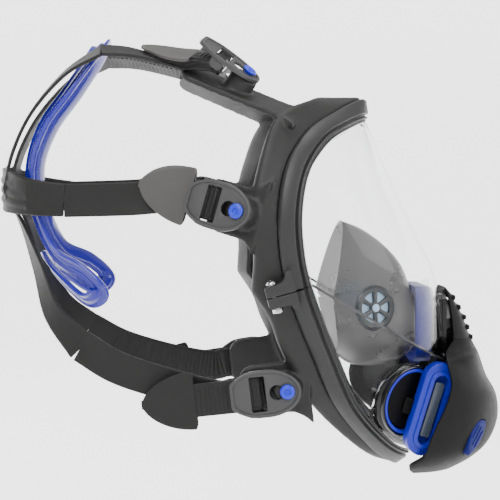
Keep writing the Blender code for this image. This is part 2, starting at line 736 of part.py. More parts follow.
def build_strap(kind, label, side, parts, rubber):
    start, normal, along = strap_run_start(kind, side)
    seam = mirrored(SEAMS[kind], side)
    seam += (mirrored(STRAP_WAYPOINTS[kind][0], side) - seam).normalized() * SEAM_GAP
    seam_normal = mirrored(SEAM_NORMALS[kind], side)
    waypoints = [mirrored(point, side) for point in reversed(STRAP_WAYPOINTS[kind])]
    path = [start, start + along * 8.0, *waypoints, seam]
    count = len(path) - 1
    # The left strap's width is negative, so that its faces mirror the right strap's exactly.
    width = -side * STRAP_WIDTH
    rows = [(*point, *normal.lerp(seam_normal, i / count), width) for i, point in enumerate(path)]
    samples = [(row[:3], row[3:6], row[6]) for row in smooth(rows, 6)]
    ribbon("strap_" + kind + "_" + label, samples, parts, rubber, STRAP_THICKNESS)


def build_anchorages(parts, cutters):
    grey = material("buckle_plastic", GREY_PLASTIC, 0.45)
    blue = material("stud_plastic", BLUE_PLASTIC, 0.35)
    rubber = material("strap_rubber", RUBBER, 0.65)
    buckle = buckle_mesh(cutters, grey)
    for kind in ANCHORS:
        for label, side in SIDES:
            name = kind + "_" + label
            axes = anchor(kind, side)
            add_object("buckle_" + name, buckle, parts, None, axes)
            build_stud(name, axes, parts, blue)
            build_tail(name, axes, kind, parts, rubber)
            build_strap(kind, label, side, parts, rubber)


def outward(point):
    """Direction away from the head at the same height."""
    return (Vector(point) - Vector((HEAD_CENTRE.x, 0.0, point[2]))).normalized()


def band_samples(points, widths, steps, normals=None):
    normals = normals or [outward(point) for point in points]
    rows = [(*point, *normal, width) for point, normal, width in zip(points, normals, widths)]
    return [(row[:3], row[3:6], row[6]) for row in smooth(rows, steps)]


def build_yoke(parts, cutters):
    rubber = material("yoke_rubber", RUBBER, 0.65)
    left = [mirrored(point, 1) for point in BACK_BAND]
    points = [Vector(point) for point in BACK_BAND] + left[-2::-1]
    widths = list(BACK_BAND_WIDTHS) + list(BACK_BAND_WIDTHS[-2::-1])
    yoke = ribbon("harness_yoke", band_samples(points, widths, 3), parts, rubber, YOKE_THICKNESS)
    for label, side in SIDES:
        upper = [mirrored(point, side) for point in UPPER_RAIL]
        normals = [mirrored(SEAM_NORMALS["top"], side), (-0.6, -0.2 * -side, 0.75),
                   (-0.85, 0.1 * side, 0.5), (-0.97, 0.1 * side, 0.2), (-1.0, 0.1 * side, 0.0)]
        widths = (STRAP_WIDTH, RAIL_WIDTH, RAIL_WIDTH, RAIL_WIDTH, RAIL_WIDTH)
        samples = band_samples(upper, widths, 2, normals)
        rail = ribbon("upper_rail_" + label, samples, cutters, None, YOKE_THICKNESS)
        combine(yoke, rail, "UNION")
        lower = [mirrored(point, side) for point in LOWER_RAIL]
        normals = [(-1.0, 0.1 * side, 0.0), (-0.95, 0.2 * side, -0.2), (-0.85, 0.5 * side, -0.2),
                   (-0.6, 0.8 * side, -0.1), mirrored(SEAM_NORMALS["neck"], side)]
        widths = (RAIL_WIDTH, RAIL_WIDTH, RAIL_WIDTH, RAIL_WIDTH, STRAP_WIDTH)
        samples = band_samples(lower, widths, 2, normals)
        rail = ribbon("lower_rail_" + label, samples, cutters, None, YOKE_THICKNESS)
        combine(yoke, rail, "UNION")


def build_cradle(parts):
    blue = material("cradle_plastic", BLUE_PLASTIC, 0.3)
    right = smooth(CRADLE_RING, 2, before=mirrored(CRADLE_RING[1], 1), after=mirrored(CRADLE_RING[-2], 1))
    ring = right + [tuple(mirrored(point, 1)) for point in right[-2:0:-1]]
    rows = []
    for i, point in enumerate(ring):
        ahead = Vector(ring[(i + 1) % len(ring)])
        behind = Vector(ring[i - 1])
        normal = (Vector(point) - HEAD_CENTRE).normalized()
        across = (ahead - behind).cross(normal).normalized() * CRADLE_WIDTH / 2
        rows.append((Vector(point) - across, Vector(point) + across))
    thicken(grid_object("crown_cradle", rows, parts, blue, wrap_rows=True), CRADLE_THICKNESS)


def build_ports(parts):
    black = material("port_plastic", DARK_PLASTIC, 0.2)
    blue = material("gasket_silicone", BLUE_PLASTIC, 0.4)
    groove = -3.0
    inner = GASKET_INNER - GAP
    outer = GASKET_OUTER + GAP
    drum_profile = ((0, -1.5), (inner, -1.5), (inner, groove), (outer, groove), (outer, 0),
                    (PORT_RADIUS, 0), (PORT_RADIUS, -9), (PORT_TUBE_RADIUS, -9),
                    (PORT_TUBE_RADIUS, -PORT_DEPTH), (PORT_BORE, -PORT_DEPTH), (PORT_BORE, -6), (0, -6))
    gasket_profile = ((GASKET_OUTER, -0.4), (GASKET_OUTER, groove + GAP),
                      (GASKET_INNER, groove + GAP), (GASKET_INNER, -0.4))
    for label, side in SIDES:
        axes = placement(mirrored(PORT_FACE, side), mirrored(PORT_AXIS, side), (0, 0, 1))
        turned("port_drum_" + label, drum_profile, parts, black, axes, 20)
        turned("port_gasket_" + label, gasket_profile, parts, blue, axes, 20)


def build_receptacles(parts, cutters):
    blue = material("receptacle_plastic", BLUE_PLASTIC, 0.35)
    smoke = material("flap_film", SILICONE, 0.3)
    for label, side in SIDES:
        axes = placement(mirrored(RECEPTACLE_CENTRE, side), mirrored(RECEPTACLE_NORMAL, side),
                         mirrored(RECEPTACLE_LONG, side))
        body = plate("receptacle_" + label, [stadium(RECEPTACLE_HALF_LENGTH, RECEPTACLE_HALF_WIDTH)],
                     -RECEPTACLE_DEPTH, 0.0, parts, blue, axes)
        pocket = plate("pocket_" + label, [stadium(SLOT_HALF_LENGTH, SLOT_HALF_WIDTH)],
                       -SLOT_DEPTH, 2.0, cutters, None, axes)
        combine(body, pocket, "DIFFERENCE")
        hinge = flap_hinge(side)
        width = 2 * SLOT_HALF_WIDTH - 2 * FLAP_INSET
        reach = SLOT_HALF_LENGTH - SLOT_HALF_WIDTH
        facing = flap_facing(side)
        outline = rounded_rectangle((-reach, 0.0), (reach, width), 1.0, 2)
        if facing < 0:
            outline = [(x, -y) for x, y in reversed(outline)]
        plate("receptacle_flap_" + label, [outline], -FLAP_THICKNESS / 2, FLAP_THICKNESS / 2,
              parts, smoke, axes @ hinge)


def flap_facing(side):
    """Which way across the slot the flap reaches from its rear hinge."""
    return -side


def flap_hinge(side):
    """Hinge line of the flap in the receptacle's frame, along the slot's rear edge."""
    y = -flap_facing(side) * (SLOT_HALF_WIDTH - FLAP_INSET)
    return Matrix.Translation((0.0, y * MM, -1.8 * MM))


def cover_row(level):
    z, rear, half, front = level
    points = []
    for i in range(COVER_COLUMNS + 1):
        angle = math.pi * (i / COVER_COLUMNS - 0.5)
        power = 2 / COVER_ROUNDNESS
        across = math.copysign(abs(math.sin(angle)) ** power, angle) * half
        reach = max(math.cos(angle), 0.0) ** power
        points.append((rear + (front - rear) * reach, across, z))
    return points


def button_axes(side):
    return placement(mirrored(BUTTON_CENTRE, side), mirrored(BUTTON_NORMAL, side), (-0.2, 0, 1))


def button_outline(side, grow):
    """Soft-cornered outline, grown by a margin and mirrored for the left."""
    rows = smooth([*BUTTON_OUTLINE, BUTTON_OUTLINE[0]], 3,
                  before=BUTTON_OUTLINE[-1], after=BUTTON_OUTLINE[1])[:-1]
    points = []
    for x, y in rows:
        scale = 1 + grow / math.hypot(x, y)
        points.append((x * scale, -side * y * scale))
    return points if side < 0 else points[::-1]


def build_cover(parts, cutters):
    plastic = material("cover_plastic", DARK_PLASTIC, 0.5)
    blue = material("button_plastic", BLUE_PLASTIC, 0.4)
    steel = material("spring_steel", METAL, 0.3, 1.0)
    rows = [cover_row(level) for level in COVER_LEVELS]
    cover = thicken(grid_object("front_cover", rows, parts, plastic), COVER_THICKNESS, 1.0)
    for i in range(GRILLE_SLOTS):
        z = GRILLE_TOP_Z - i * GRILLE_PITCH
        slot = box("grille_slot_%d" % i, (96.0, -GRILLE_HALF_WIDTH, z - GRILLE_SLOT_HEIGHT / 2),
                   (125.0, GRILLE_HALF_WIDTH, z + GRILLE_SLOT_HEIGHT / 2), cutters)
        combine(cover, slot, "DIFFERENCE")
    for label, side in SIDES:
        axes = button_axes(side)
        hole = plate("button_hole_" + label, [button_outline(side, 0.4)], -12, 8, cutters, None, axes)
        combine(cover, hole, "DIFFERENCE")
        button = plate("release_button_" + label, [button_outline(side, 0.0)], -BUTTON_DEPTH, BUTTON_PROUD,
                       parts, blue, axes)
        flange = plate("button_flange_" + label, [button_outline(side, 2.0)], -BUTTON_DEPTH - 1.0,
                       -BUTTON_DEPTH + BUTTON_FLANGE - 1.0, cutters, None, axes)
        combine(button, flange, "UNION")
        build_spring("button_spring_" + label, axes, parts, steel)


def build_spring(name, axes, parts, steel):
    """Compression spring behind the button, a travel's length clear of it."""
    top = -BUTTON_DEPTH - 1.0 - BUTTON_TRAVEL - SPRING_WIRE
    curve = bpy.data.curves.new(name, "CURVE")
    curve.dimensions = "3D"
    curve.bevel_depth = SPRING_WIRE / 2 * MM
    curve.bevel_resolution = 1
    curve.use_fill_caps = True
    spline = curve.splines.new("POLY")
    count = SPRING_TURNS * SPRING_SIDES
    spline.points.add(count)
    for i, point in enumerate(spline.points):
        angle = 2 * math.pi * i / SPRING_SIDES
        height = top - SPRING_LENGTH * i / count
        point.co = (SPRING_RADIUS * math.cos(angle) * MM, SPRING_RADIUS * math.sin(angle) * MM,
                    height * MM, 1.0)
    source = bpy.data.objects.new(name + "_wire", curve)
    parts.objects.link(source)
    curve_to_mesh(source, name, parts, steel, axes)


def seat_profile(radius, seat, top, bottom):
    """Stub of tube whose top holds a disc in a round recess."""
    inner = radius + GAP
    outer = radius + 2.5
    return ((0, seat), (inner, seat), (inner, top), (outer, top), (outer, bottom), (0, bottom))


def build_adapter(parts, cutters):
    """Ring through the lens, and the front body with its speaking and exhalation seats."""
    black = material("adapter_plastic", DARK_PLASTIC, 0.4)
    neck_outline = rounded_rectangle((NECK_BOTTOM_Z, -NECK_HALF_WIDTH), (NECK_TOP_Z, NECK_HALF_WIDTH), 6)
    bore_outline = rounded_rectangle((NECK_BOTTOM_Z + WALL, -NECK_HALF_WIDTH + WALL),
                                     (NECK_TOP_Z - WALL, NECK_HALF_WIDTH - WALL), 4)
    plate("adapter_ring", [neck_outline, bore_outline], NECK_BACK_X, ADAPTER_FACE_X - GAP,
          parts, black, neck_axes())
    body = plate("central_adapter", [neck_outline], ADAPTER_FACE_X - 1, NECK_FRONT_X,
                 parts, black, neck_axes())
    speak = placement(DIAPHRAGM_CENTRE, DIAPHRAGM_AXIS, (0, 1, 0))
    exhale = placement(EXHALE_CENTRE, EXHALE_AXIS, (0, 1, 0))
    outer_speak = turned("speak_tube", seat_profile(DIAPHRAGM_RADIUS, 0.0, 3.0, -8.0), cutters, None, speak)
    outer_exhale = turned("exhale_tube", seat_profile(EXHALE_RADIUS, 1.0, 4.0, -6.4), cutters, None, exhale)
    side_on = placement((0, 0, 0), (0, -1, 0), (1, 0, 0))
    duct = plate("duct", [DUCT_OUTLINE], -DUCT_HALF_WIDTH, DUCT_HALF_WIDTH, cutters, None, side_on)
    for solid in (duct, outer_speak, outer_exhale):
        combine(body, solid, "UNION")
    behind = rounded_rectangle((NECK_BOTTOM_Z - 1, -NECK_HALF_WIDTH - 1),
                               (NECK_TOP_Z + 1, NECK_HALF_WIDTH + 1), 6)
    ring_space = plate("ring_space", [behind], NECK_BACK_X - 5, ADAPTER_FACE_X,
                       cutters, None, neck_axes())
    speak_bore = cylinder("speak_bore", DIAPHRAGM_RADIUS - 2.0, -9.2, 6, cutters, speak)
    exhale_bore = cylinder("exhale_bore", EXHALE_RADIUS - 3.5, -5.2, 6, cutters, exhale)
    reach = DUCT_HALF_WIDTH - WALL
    duct_bore = plate("duct_bore", [DUCT_BORE], -reach, reach, cutters, None, side_on)
    for solid in (ring_space, speak_bore, exhale_bore, duct_bore):
        combine(body, solid, "DIFFERENCE")
    foil = material("diaphragm_film", METAL, 0.3)
    rubber = material("valve_silicone", SILICONE, 0.5)
    disc = ((0, 0.9), (DIAPHRAGM_RADIUS, 0.9), (DIAPHRAGM_RADIUS, GAP), (0, GAP))
    turned("speaking_diaphragm", disc, parts, foil, speak)
    ring = ((DIAPHRAGM_RADIUS, 2.8), (DIAPHRAGM_RADIUS, 1.2),
            (DIAPHRAGM_RADIUS - 2.5, 1.2), (DIAPHRAGM_RADIUS - 2.5, 2.8))
    turned("diaphragm_ring", ring, parts, black, speak)
    flap = ((0, 2.4), (EXHALE_RADIUS - 1, 1.9), (EXHALE_RADIUS - 1, 1.0 + GAP), (0, 1.0 + GAP))
    turned("exhalation_valve", flap, parts, rubber, exhale)


def nose_cup_ring(ring):
    top_x, top_z, side_x, half, side_z, low_x, low_z = ring
    points = []
    for i in range(NOSE_CUP_COLUMNS):
        angle = 2 * math.pi * i / NOSE_CUP_COLUMNS
        lift = math.cos(angle)
        end_x, end_z = (top_x, top_z) if lift > 0 else (low_x, low_z)
        share = abs(lift)
        points.append((side_x + (end_x - side_x) * share, half * math.sin(angle),
                       side_z + (end_z - side_z) * share))
    return points


def valve_plate_outlines():
    """Round seat with a ring of sector windows between its spokes."""
    outlines = [arc(0, 0, VALVE_RADIUS, 0, 340, 17)]
    sector = 360 / VALVE_SPOKES
    for i in range(VALVE_SPOKES):
        start = i * sector + 9
        end = (i + 1) * sector - 9
        outlines.append(arc(0, 0, VALVE_RADIUS - 2.6, start, end, 3) + arc(0, 0, 4.0, end, start, 2))
    return outlines


def build_nose_cup(parts, cutters):
    silicone = material("nose_cup_silicone", SILICONE, 0.45)
    blue = material("collar_plastic", BLUE_PLASTIC, 0.4)
    pale = material("valve_seat_plastic", (0.45, 0.62, 0.8), 0.4)
    rows = [nose_cup_ring(ring) for ring in smooth(NOSE_CUP_RINGS, 2)]
    cup = thicken(grid_object("nose_cup", rows, parts, silicone, wrap_columns=True), NOSE_CUP_THICKNESS)
    for label, side in SIDES:
        axes = placement(mirrored(VALVE_CENTRE, side), mirrored(VALVE_NORMAL, side), (0, 0, 1))
        hole = cylinder("valve_hole_" + label, VALVE_RADIUS + 0.5, -9, 6, cutters, axes)
        combine(cup, hole, "DIFFERENCE")
        plate("inhalation_valve_" + label, valve_plate_outlines(), -1.0, 1.0, parts, pale, axes)
        disc = ((0, -1.3), (VALVE_RADIUS - 1.2, -1.3), (VALVE_RADIUS - 1.2, -2.1), (0, -2.1))
        turned("inhalation_flap_" + label, disc, parts, silicone, axes, 24)
    outer = rounded_rectangle((COLLAR_BOTTOM_Z, -COLLAR_HALF_WIDTH), (COLLAR_TOP_Z, COLLAR_HALF_WIDTH), 8)
    inner = rounded_rectangle((COLLAR_BOTTOM_Z + 5, -COLLAR_HALF_WIDTH + 5),
                              (COLLAR_TOP_Z - 5, COLLAR_HALF_WIDTH - 5), 5)
    plate("nose_cup_collar", [outer, inner], COLLAR_BACK_X, NECK_BACK_X - GAP, parts, blue, neck_axes())


def main():
    clear_scene()
    parts = collection("respirator")
    cutters = collection("cutters")
    build_frame(parts, cutters)
    build_lens(parts, cutters)
    build_seal(parts, cutters)
    build_anchorages(parts, cutters)
    build_yoke(parts, cutters)
    build_cradle(parts)
    build_ports(parts)
    build_receptacles(parts, cutters)
    build_cover(parts, cutters)
    build_adapter(parts, cutters)
    build_nose_cup(parts, cutters)


main()
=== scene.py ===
"""Looks of a full-face respirator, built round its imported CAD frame.

Shapes are given in millimetres, as in the CAD source, and become metres where vertices are made.
The wearer looks along +X, +Z is up, and the wearer's right hand is at -Y.
"""
import json
import math

import bmesh
import bpy
from mathutils import Matrix, Vector

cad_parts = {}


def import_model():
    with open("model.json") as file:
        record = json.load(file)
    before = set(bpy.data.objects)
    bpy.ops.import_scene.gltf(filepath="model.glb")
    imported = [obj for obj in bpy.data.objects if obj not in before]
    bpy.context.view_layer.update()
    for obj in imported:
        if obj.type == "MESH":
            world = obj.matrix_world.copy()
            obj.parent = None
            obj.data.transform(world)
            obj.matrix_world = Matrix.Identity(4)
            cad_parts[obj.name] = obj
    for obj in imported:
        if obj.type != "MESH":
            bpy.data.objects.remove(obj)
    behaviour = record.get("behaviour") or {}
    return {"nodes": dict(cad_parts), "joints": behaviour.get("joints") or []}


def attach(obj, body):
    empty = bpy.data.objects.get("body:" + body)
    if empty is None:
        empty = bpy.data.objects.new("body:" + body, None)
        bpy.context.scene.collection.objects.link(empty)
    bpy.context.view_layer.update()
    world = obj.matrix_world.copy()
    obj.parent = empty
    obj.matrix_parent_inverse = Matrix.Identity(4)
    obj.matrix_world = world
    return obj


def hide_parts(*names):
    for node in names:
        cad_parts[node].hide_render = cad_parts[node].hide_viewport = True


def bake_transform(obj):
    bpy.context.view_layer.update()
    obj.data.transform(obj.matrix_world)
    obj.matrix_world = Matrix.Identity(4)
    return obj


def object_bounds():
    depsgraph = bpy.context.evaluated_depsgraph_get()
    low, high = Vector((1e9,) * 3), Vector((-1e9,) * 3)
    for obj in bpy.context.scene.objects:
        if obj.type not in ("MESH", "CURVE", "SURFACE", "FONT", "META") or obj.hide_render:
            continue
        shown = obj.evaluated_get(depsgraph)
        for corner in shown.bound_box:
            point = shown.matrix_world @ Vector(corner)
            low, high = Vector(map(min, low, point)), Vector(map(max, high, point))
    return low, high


MM = 0.001
WELD = 0.00001
SIDES = (("right", -1), ("left", 1))
KINDS = ("top", "temple", "neck")

# Camera: distance, bearing and aim, in metres and degrees.
CAMERA_AZIMUTH = -4.0
CAMERA_ELEVATION = 4.0
CAMERA_DISTANCE = 0.78
CAMERA_TARGET = Vector((-0.0265, 0.0, 0.0125))
CAMERA_LENS = 90.0
FLOOR_DROP = 0.14
FLOOR_RADIUS = 2.2
FLOOR_SWEEP = 1.2
# Lights: name, place in metres, size and power.
LIGHT_AIM = Vector((0.0, 0.0, 0.02))
LIGHTS = (
    ("key_light", (-0.35, -1.0, 0.95), 0.8, 14.0),
    ("front_light", (1.1, -0.7, 0.45), 0.7, 9.0),
    ("top_light", (0.0, 0.1, 1.3), 1.0, 10.0),
    ("back_light", (-0.9, 0.9, 0.7), 0.8, 8.0),
)
WORLD_STRENGTH = 0.55
# The backdrop's glow rises from the first level to the second over this stretch of its own Y.
GLOW_SPAN = (-0.15, 0.25)
GLOW_LEVELS = (0.25, 2.1)

# Stations round the lens: rim x, rim half-width, rim z, lens crest x, crest z,
# lens roundness, seal x, seal half-width, seal z.
BROW_TO_CHEEK = (
    (43.0, 0.0, 99.0, 44.0, 91.0, 2.0, 14.0, 0.0, 105.0),
    (28.0, 28.0, 92.0, 49.0, 79.0, 2.0, 8.0, 30.0, 103.0),
    (9.0, 54.0, 81.0, 55.0, 65.0, 2.0, -13.0, 54.0, 93.0),
    (-4.0, 69.0, 63.0, 64.0, 45.0, 2.0, -24.0, 68.0, 67.0),
    (-9.0, 76.0, 38.0, 74.0, 23.0, 2.2, -29.0, 74.0, 40.0),
    (-7.5, 76.5, 14.0, 87.0, -6.0, 2.3, -27.0, 74.0, 14.0),
    (-3.5, 75.0, -4.0, 94.0, -56.0, 2.2, -28.0, 72.0, -6.0),
)
CHEEK_TO_CHIN = (
    (-3.5, 75.0, -4.0, 94.0, -56.0, 2.2, -28.0, 72.0, -6.0),
    (2.5, 71.0, -20.0, 94.0, -66.0, 1.75, -18.0, 69.0, -22.0),
    (10.0, 66.0, -38.0, 92.0, -77.0, 1.6, -11.0, 64.0, -41.0),
    (27.0, 51.0, -74.0, 87.0, -92.0, 1.5, 7.0, 51.0, -74.0),
    (52.0, 25.0, -104.0, 80.0, -104.0, 1.7, 36.0, 27.0, -104.0),
    (69.0, 0.0, -117.0, 76.0, -112.0, 2.0, 53.0, 0.0, -117.0),
)
FRAME_CENTRE = Vector((20.0, 0.0, 0.0))
SEAL_CENTRE = Vector((8.0, 0.0, -5.0))
RIM_STEPS = 8
BAND_HALF_WIDTH = 6.0
LENS_THICKNESS = 2.5
LENS_EDGE_GAP = 1.0
LENS_COLUMNS = 64
CREASE_END = 24.0
FACE_CENTRE = Vector((20.0, 0.0, -20.0))
PORT_HOLE_SPAN = (-30, 12)
NECK_HOLE_SPAN = (60, 120)
NECK_HOLE_MARGIN = 0.6
SEAL_THICKNESS = 3.0
SEAL_LIP = 20.0
SEAL_STANDOFF = 1.0
SEAL_VOXEL = 1.1

CHEEK_HALF_WIDTH = 82.0
LUG_BACK = -20.0
LUG_FRONT = -3.0
LUG_HALF_WIDTH = 4.0
LUG_HEIGHT = 6.4
SPLIT_GAP = 0.3
SCREW_BACK = -15.5

# Strap anchorages, as in the joints: the strap-ward axis is not in the frame, so it is here.
ALONG = {"top": (-0.80, 0.05, 0.60), "temple": (-0.84, 0.49, 0.24), "neck": (-0.986, 0.11, -0.12)}
STRAP_PITCH = {"top": 33.0, "temple": 0.0, "neck": 0.0}
LEAF_BEND = {"top": 12.0, "temple": 19.0, "neck": -4.0}
TAIL_RUN = {"top": 0.0, "temple": 0.0, "neck": 20.0}
TAB_PITCH = {"top": 15.0, "temple": 0.0, "neck": 0.0}
TAB_REACH = {"top": 33.0, "temple": 23.0, "neck": 28.0}
TAB_ROOT = {"top": -41.0, "temple": -10.0, "neck": -13.0}
TAB_FLARE = {"top": 9.0, "temple": 7.0, "neck": 9.0}
TAB_DEPTH = 13.0
TAB_THICKNESS = 3.6
TAB_HALF_WIDTH = 15.0
BOSS_RADIUS = 8.0
PLATE_THICKNESS = 2.4
BUCKLE_END = 33.0
BUCKLE_END_HALF = 8.0
BUCKLE_HALF_WIDTH = 13.8
BUCKLE_NOSE = -8.0
WINDOW = ((12.5, -10.3), (21.5, 10.3))
KEYHOLE_CENTRE = 5.9
KEYHOLE_RADIUS = 4.4
STUD_RADIUS = 2.4
STUD_HEAD_RADIUS = 4.3
BAR_A = 17.4
BAR_N = -6.6
BAR_RADIUS = 1.8
STRAP_WIDTH = 19.4
STRAP_THICKNESS = 1.8
STRAP_BEND = 3.0
RUN_END = 31.0
LEAF_LENGTH = 32.0
LEAF_HALF_WIDTH = 17.0
RIB_PITCH = 2.7
RIB_HEIGHT = 0.5
RIBBED_LENGTH = 78.0

SEAMS = {"top": (-115, -40, 132), "temple": (-137, -45, 45), "neck": (-128, -43, -41)}
STRAP_WAYPOINTS = {
    "top": ((-98, -38, 131),),
    "temple": ((-98.5, -52.0, 46.2),),
    "neck": ((-107, -48, -53), (-76, -51, -63)),
}
SEAM_NORMALS = {"top": (-0.35, -0.35, 0.87), "temple": (-0.3, -0.95, 0), "neck": (-0.2, -0.98, 0)}
YOKE_THICKNESS = 2.0
YOKE_STEPS = 12
SEAM_OVERLAP = 0.8
RAIL_WIDTH = 15.0
UPPER_RAIL = ((-115.5, -40, 132), (-137, -35, 119), (-157, -29, 97), (-169, -24, 74), (-175, -20, 52))
LOWER_RAIL = ((-175, -20, 50), (-165, -20, 31), (-155, -24, 4), (-146, -33, -22), (-128.5, -43, -41))
BACK_BAND = ((-137.5, -45, 45), (-158, -41, 47), (-172, -26, 50), (-177, 0, 51))
BACK_BAND_WIDTHS = (19.4, 22.0, 26.0, 26.0)
HEAD_CENTRE = Vector((-80.0, 0.0, 50.0))
CRADLE_THICKNESS = 2.4
CRADLE_WIDTH = 12.0
CRADLE_RING = (
    (-117, 0, 138), (-121, -22, 130), (-135, -32, 109), (-150, -32, 88), (-158, -28, 64),
    (-155, -28, 38), (-144, -32, 14), (-127, -42, 4), (-117, -46, -7), (-126, -38, -13),
    (-143, -20, 0), (-151, 0, 8),
)

PORT_AXIS = (0.50, -0.85, -0.15)
PORT_FACE = (67.0, -47.0, -75.5)
PORT_RADIUS = 22.0
RECEPTACLE_CENTRE = (78.5, -54.0, -79.5)
RECEPTACLE_NORMAL = (0.17, -0.98, -0.05)
RECEPTACLE_LONG = (-0.29, 0.0, -0.96)
RECEPTACLE_HALF_LENGTH = 28.5
RECEPTACLE_HALF_WIDTH = 10.5
RECEPTACLE_DEPTH = 8.5
SLOT_HALF_LENGTH = 21.5
SLOT_HALF_WIDTH = 4.6
SLOT_DEPTH = 6.7
FLAP_INSET = 1.6
TOOTH_GAPS = 5
TOOTH_PITCH = 2.0

COVER_LEVELS = (
    (-11.0, 94.5, 11.0, 96.2),
    (-15.0, 95.5, 17.0, 99.5),
    (-28.0, 96.5, 23.0, 107.0),
    (-41.0, 97.0, 26.5, 111.5),
    (-46.0, 88.0, 45.0, 113.5),
    (-50.0, 86.0, 57.5, 115.0),
    (-63.0, 88.0, 61.5, 119.5),
    (-75.0, 85.0, 62.0, 126.5),
    (-87.0, 79.5, 62.0, 128.5),
    (-97.0, 75.5, 61.5, 126.5),
    (-106.0, 73.0, 59.0, 121.5),
    (-114.0, 65.0, 53.0, 113.5),
    (-120.0, 69.0, 42.0, 104.0),
)
COVER_ROUNDNESS = 2.2
COVER_THICKNESS = 2.4
COVER_COLUMNS = 56
GRILLE_SLOTS = 4
GRILLE_TOP_Z = -19.7
GRILLE_PITCH = 6.2
GRILLE_SLOT_HEIGHT = 2.8
GRILLE_HALF_WIDTH = 14.3
GRILLE_CUT_SPAN = (96, 125)
GRILLE_BAR_HALF_HEIGHT = 1.5
GRILLE_BAR_DEPTHS = (-3.4, -1.5)
BUTTON_CENTRE = (104.3, -52.0, -97.0)
BUTTON_NORMAL = (0.60, -0.79, -0.15)
BUTTON_OUTLINE = (
    (-8.4, 7.6), (-0.3, 6.8), (6.8, 3.0), (11.0, -2.6), (9.0, -8.0), (4.0, -7.6), (-2.6, -3.8), (-6.6, 1.2),
)
BUTTON_SLANT = 42.0
BUTTON_RIBS = ((0.5, -1.6, 5.5), (1.5, 1.2, 6.0), (3.0, 4.0, 4.6))
BUTTON_PROUD = 1.5
BUTTON_DEPTH = 9.0
SPRING_RADIUS = 3.0
SPRING_WIRE = 0.8
SPRING_LENGTH = 7.0
SPRING_TOP = -13.3
SPRING_TURNS = 4

NECK_BACK_X = 83.5
NECK_HALF_WIDTH = 21.0
NECK_TOP_Z = -14.5
NECK_BOTTOM_Z = -53.0
# CAD nodes that show their own shape: node, material and slot.
CAD_LOOKS = (
    ("adapter_ring", "adapter", "adapter_plastic"),
    ("central_adapter", "adapter", "adapter_plastic"),
    ("speaking_diaphragm", "foil", "diaphragm_film"),
    ("diaphragm_ring", "adapter", "adapter_plastic"),
    ("exhalation_valve", "nose_cup", "nose_cup_silicone"),
)
NOSE_CUP_RINGS = (
    (30, 30, 20, 40, -14, 27, -52),
    (43, 25, 33, 41, -17, 37, -58),
    (56, 16, 45, 36, -21, 52, -59),
    (67, 4, 62, 29, -26, 64, -56),
    (72.4, -10.5, 72.4, 24, -31, 72.4, -51),
)
NOSE_CUP_THICKNESS = 2.0
VALVE_CENTRE = (46.0, -37.2, -20.0)
VALVE_NORMAL = (0.38, -0.92, 0.05)
VALVE_RADIUS = 12.0
VALVE_SPOKES = 6
VALVE_RING = ((0.9, 0.8), (1.6, 0.2), (1.6, -0.4), (-0.6, -0.4), (-1.2, 1.2), (0.0, 1.6))
COLLAR_BACK_X = 73.6
COLLAR_HALF_WIDTH = 24.5
COLLAR_TOP_Z = -9.0
COLLAR_BOTTOM_Z = -55.0


# ---------------------------------------------------------------- materials

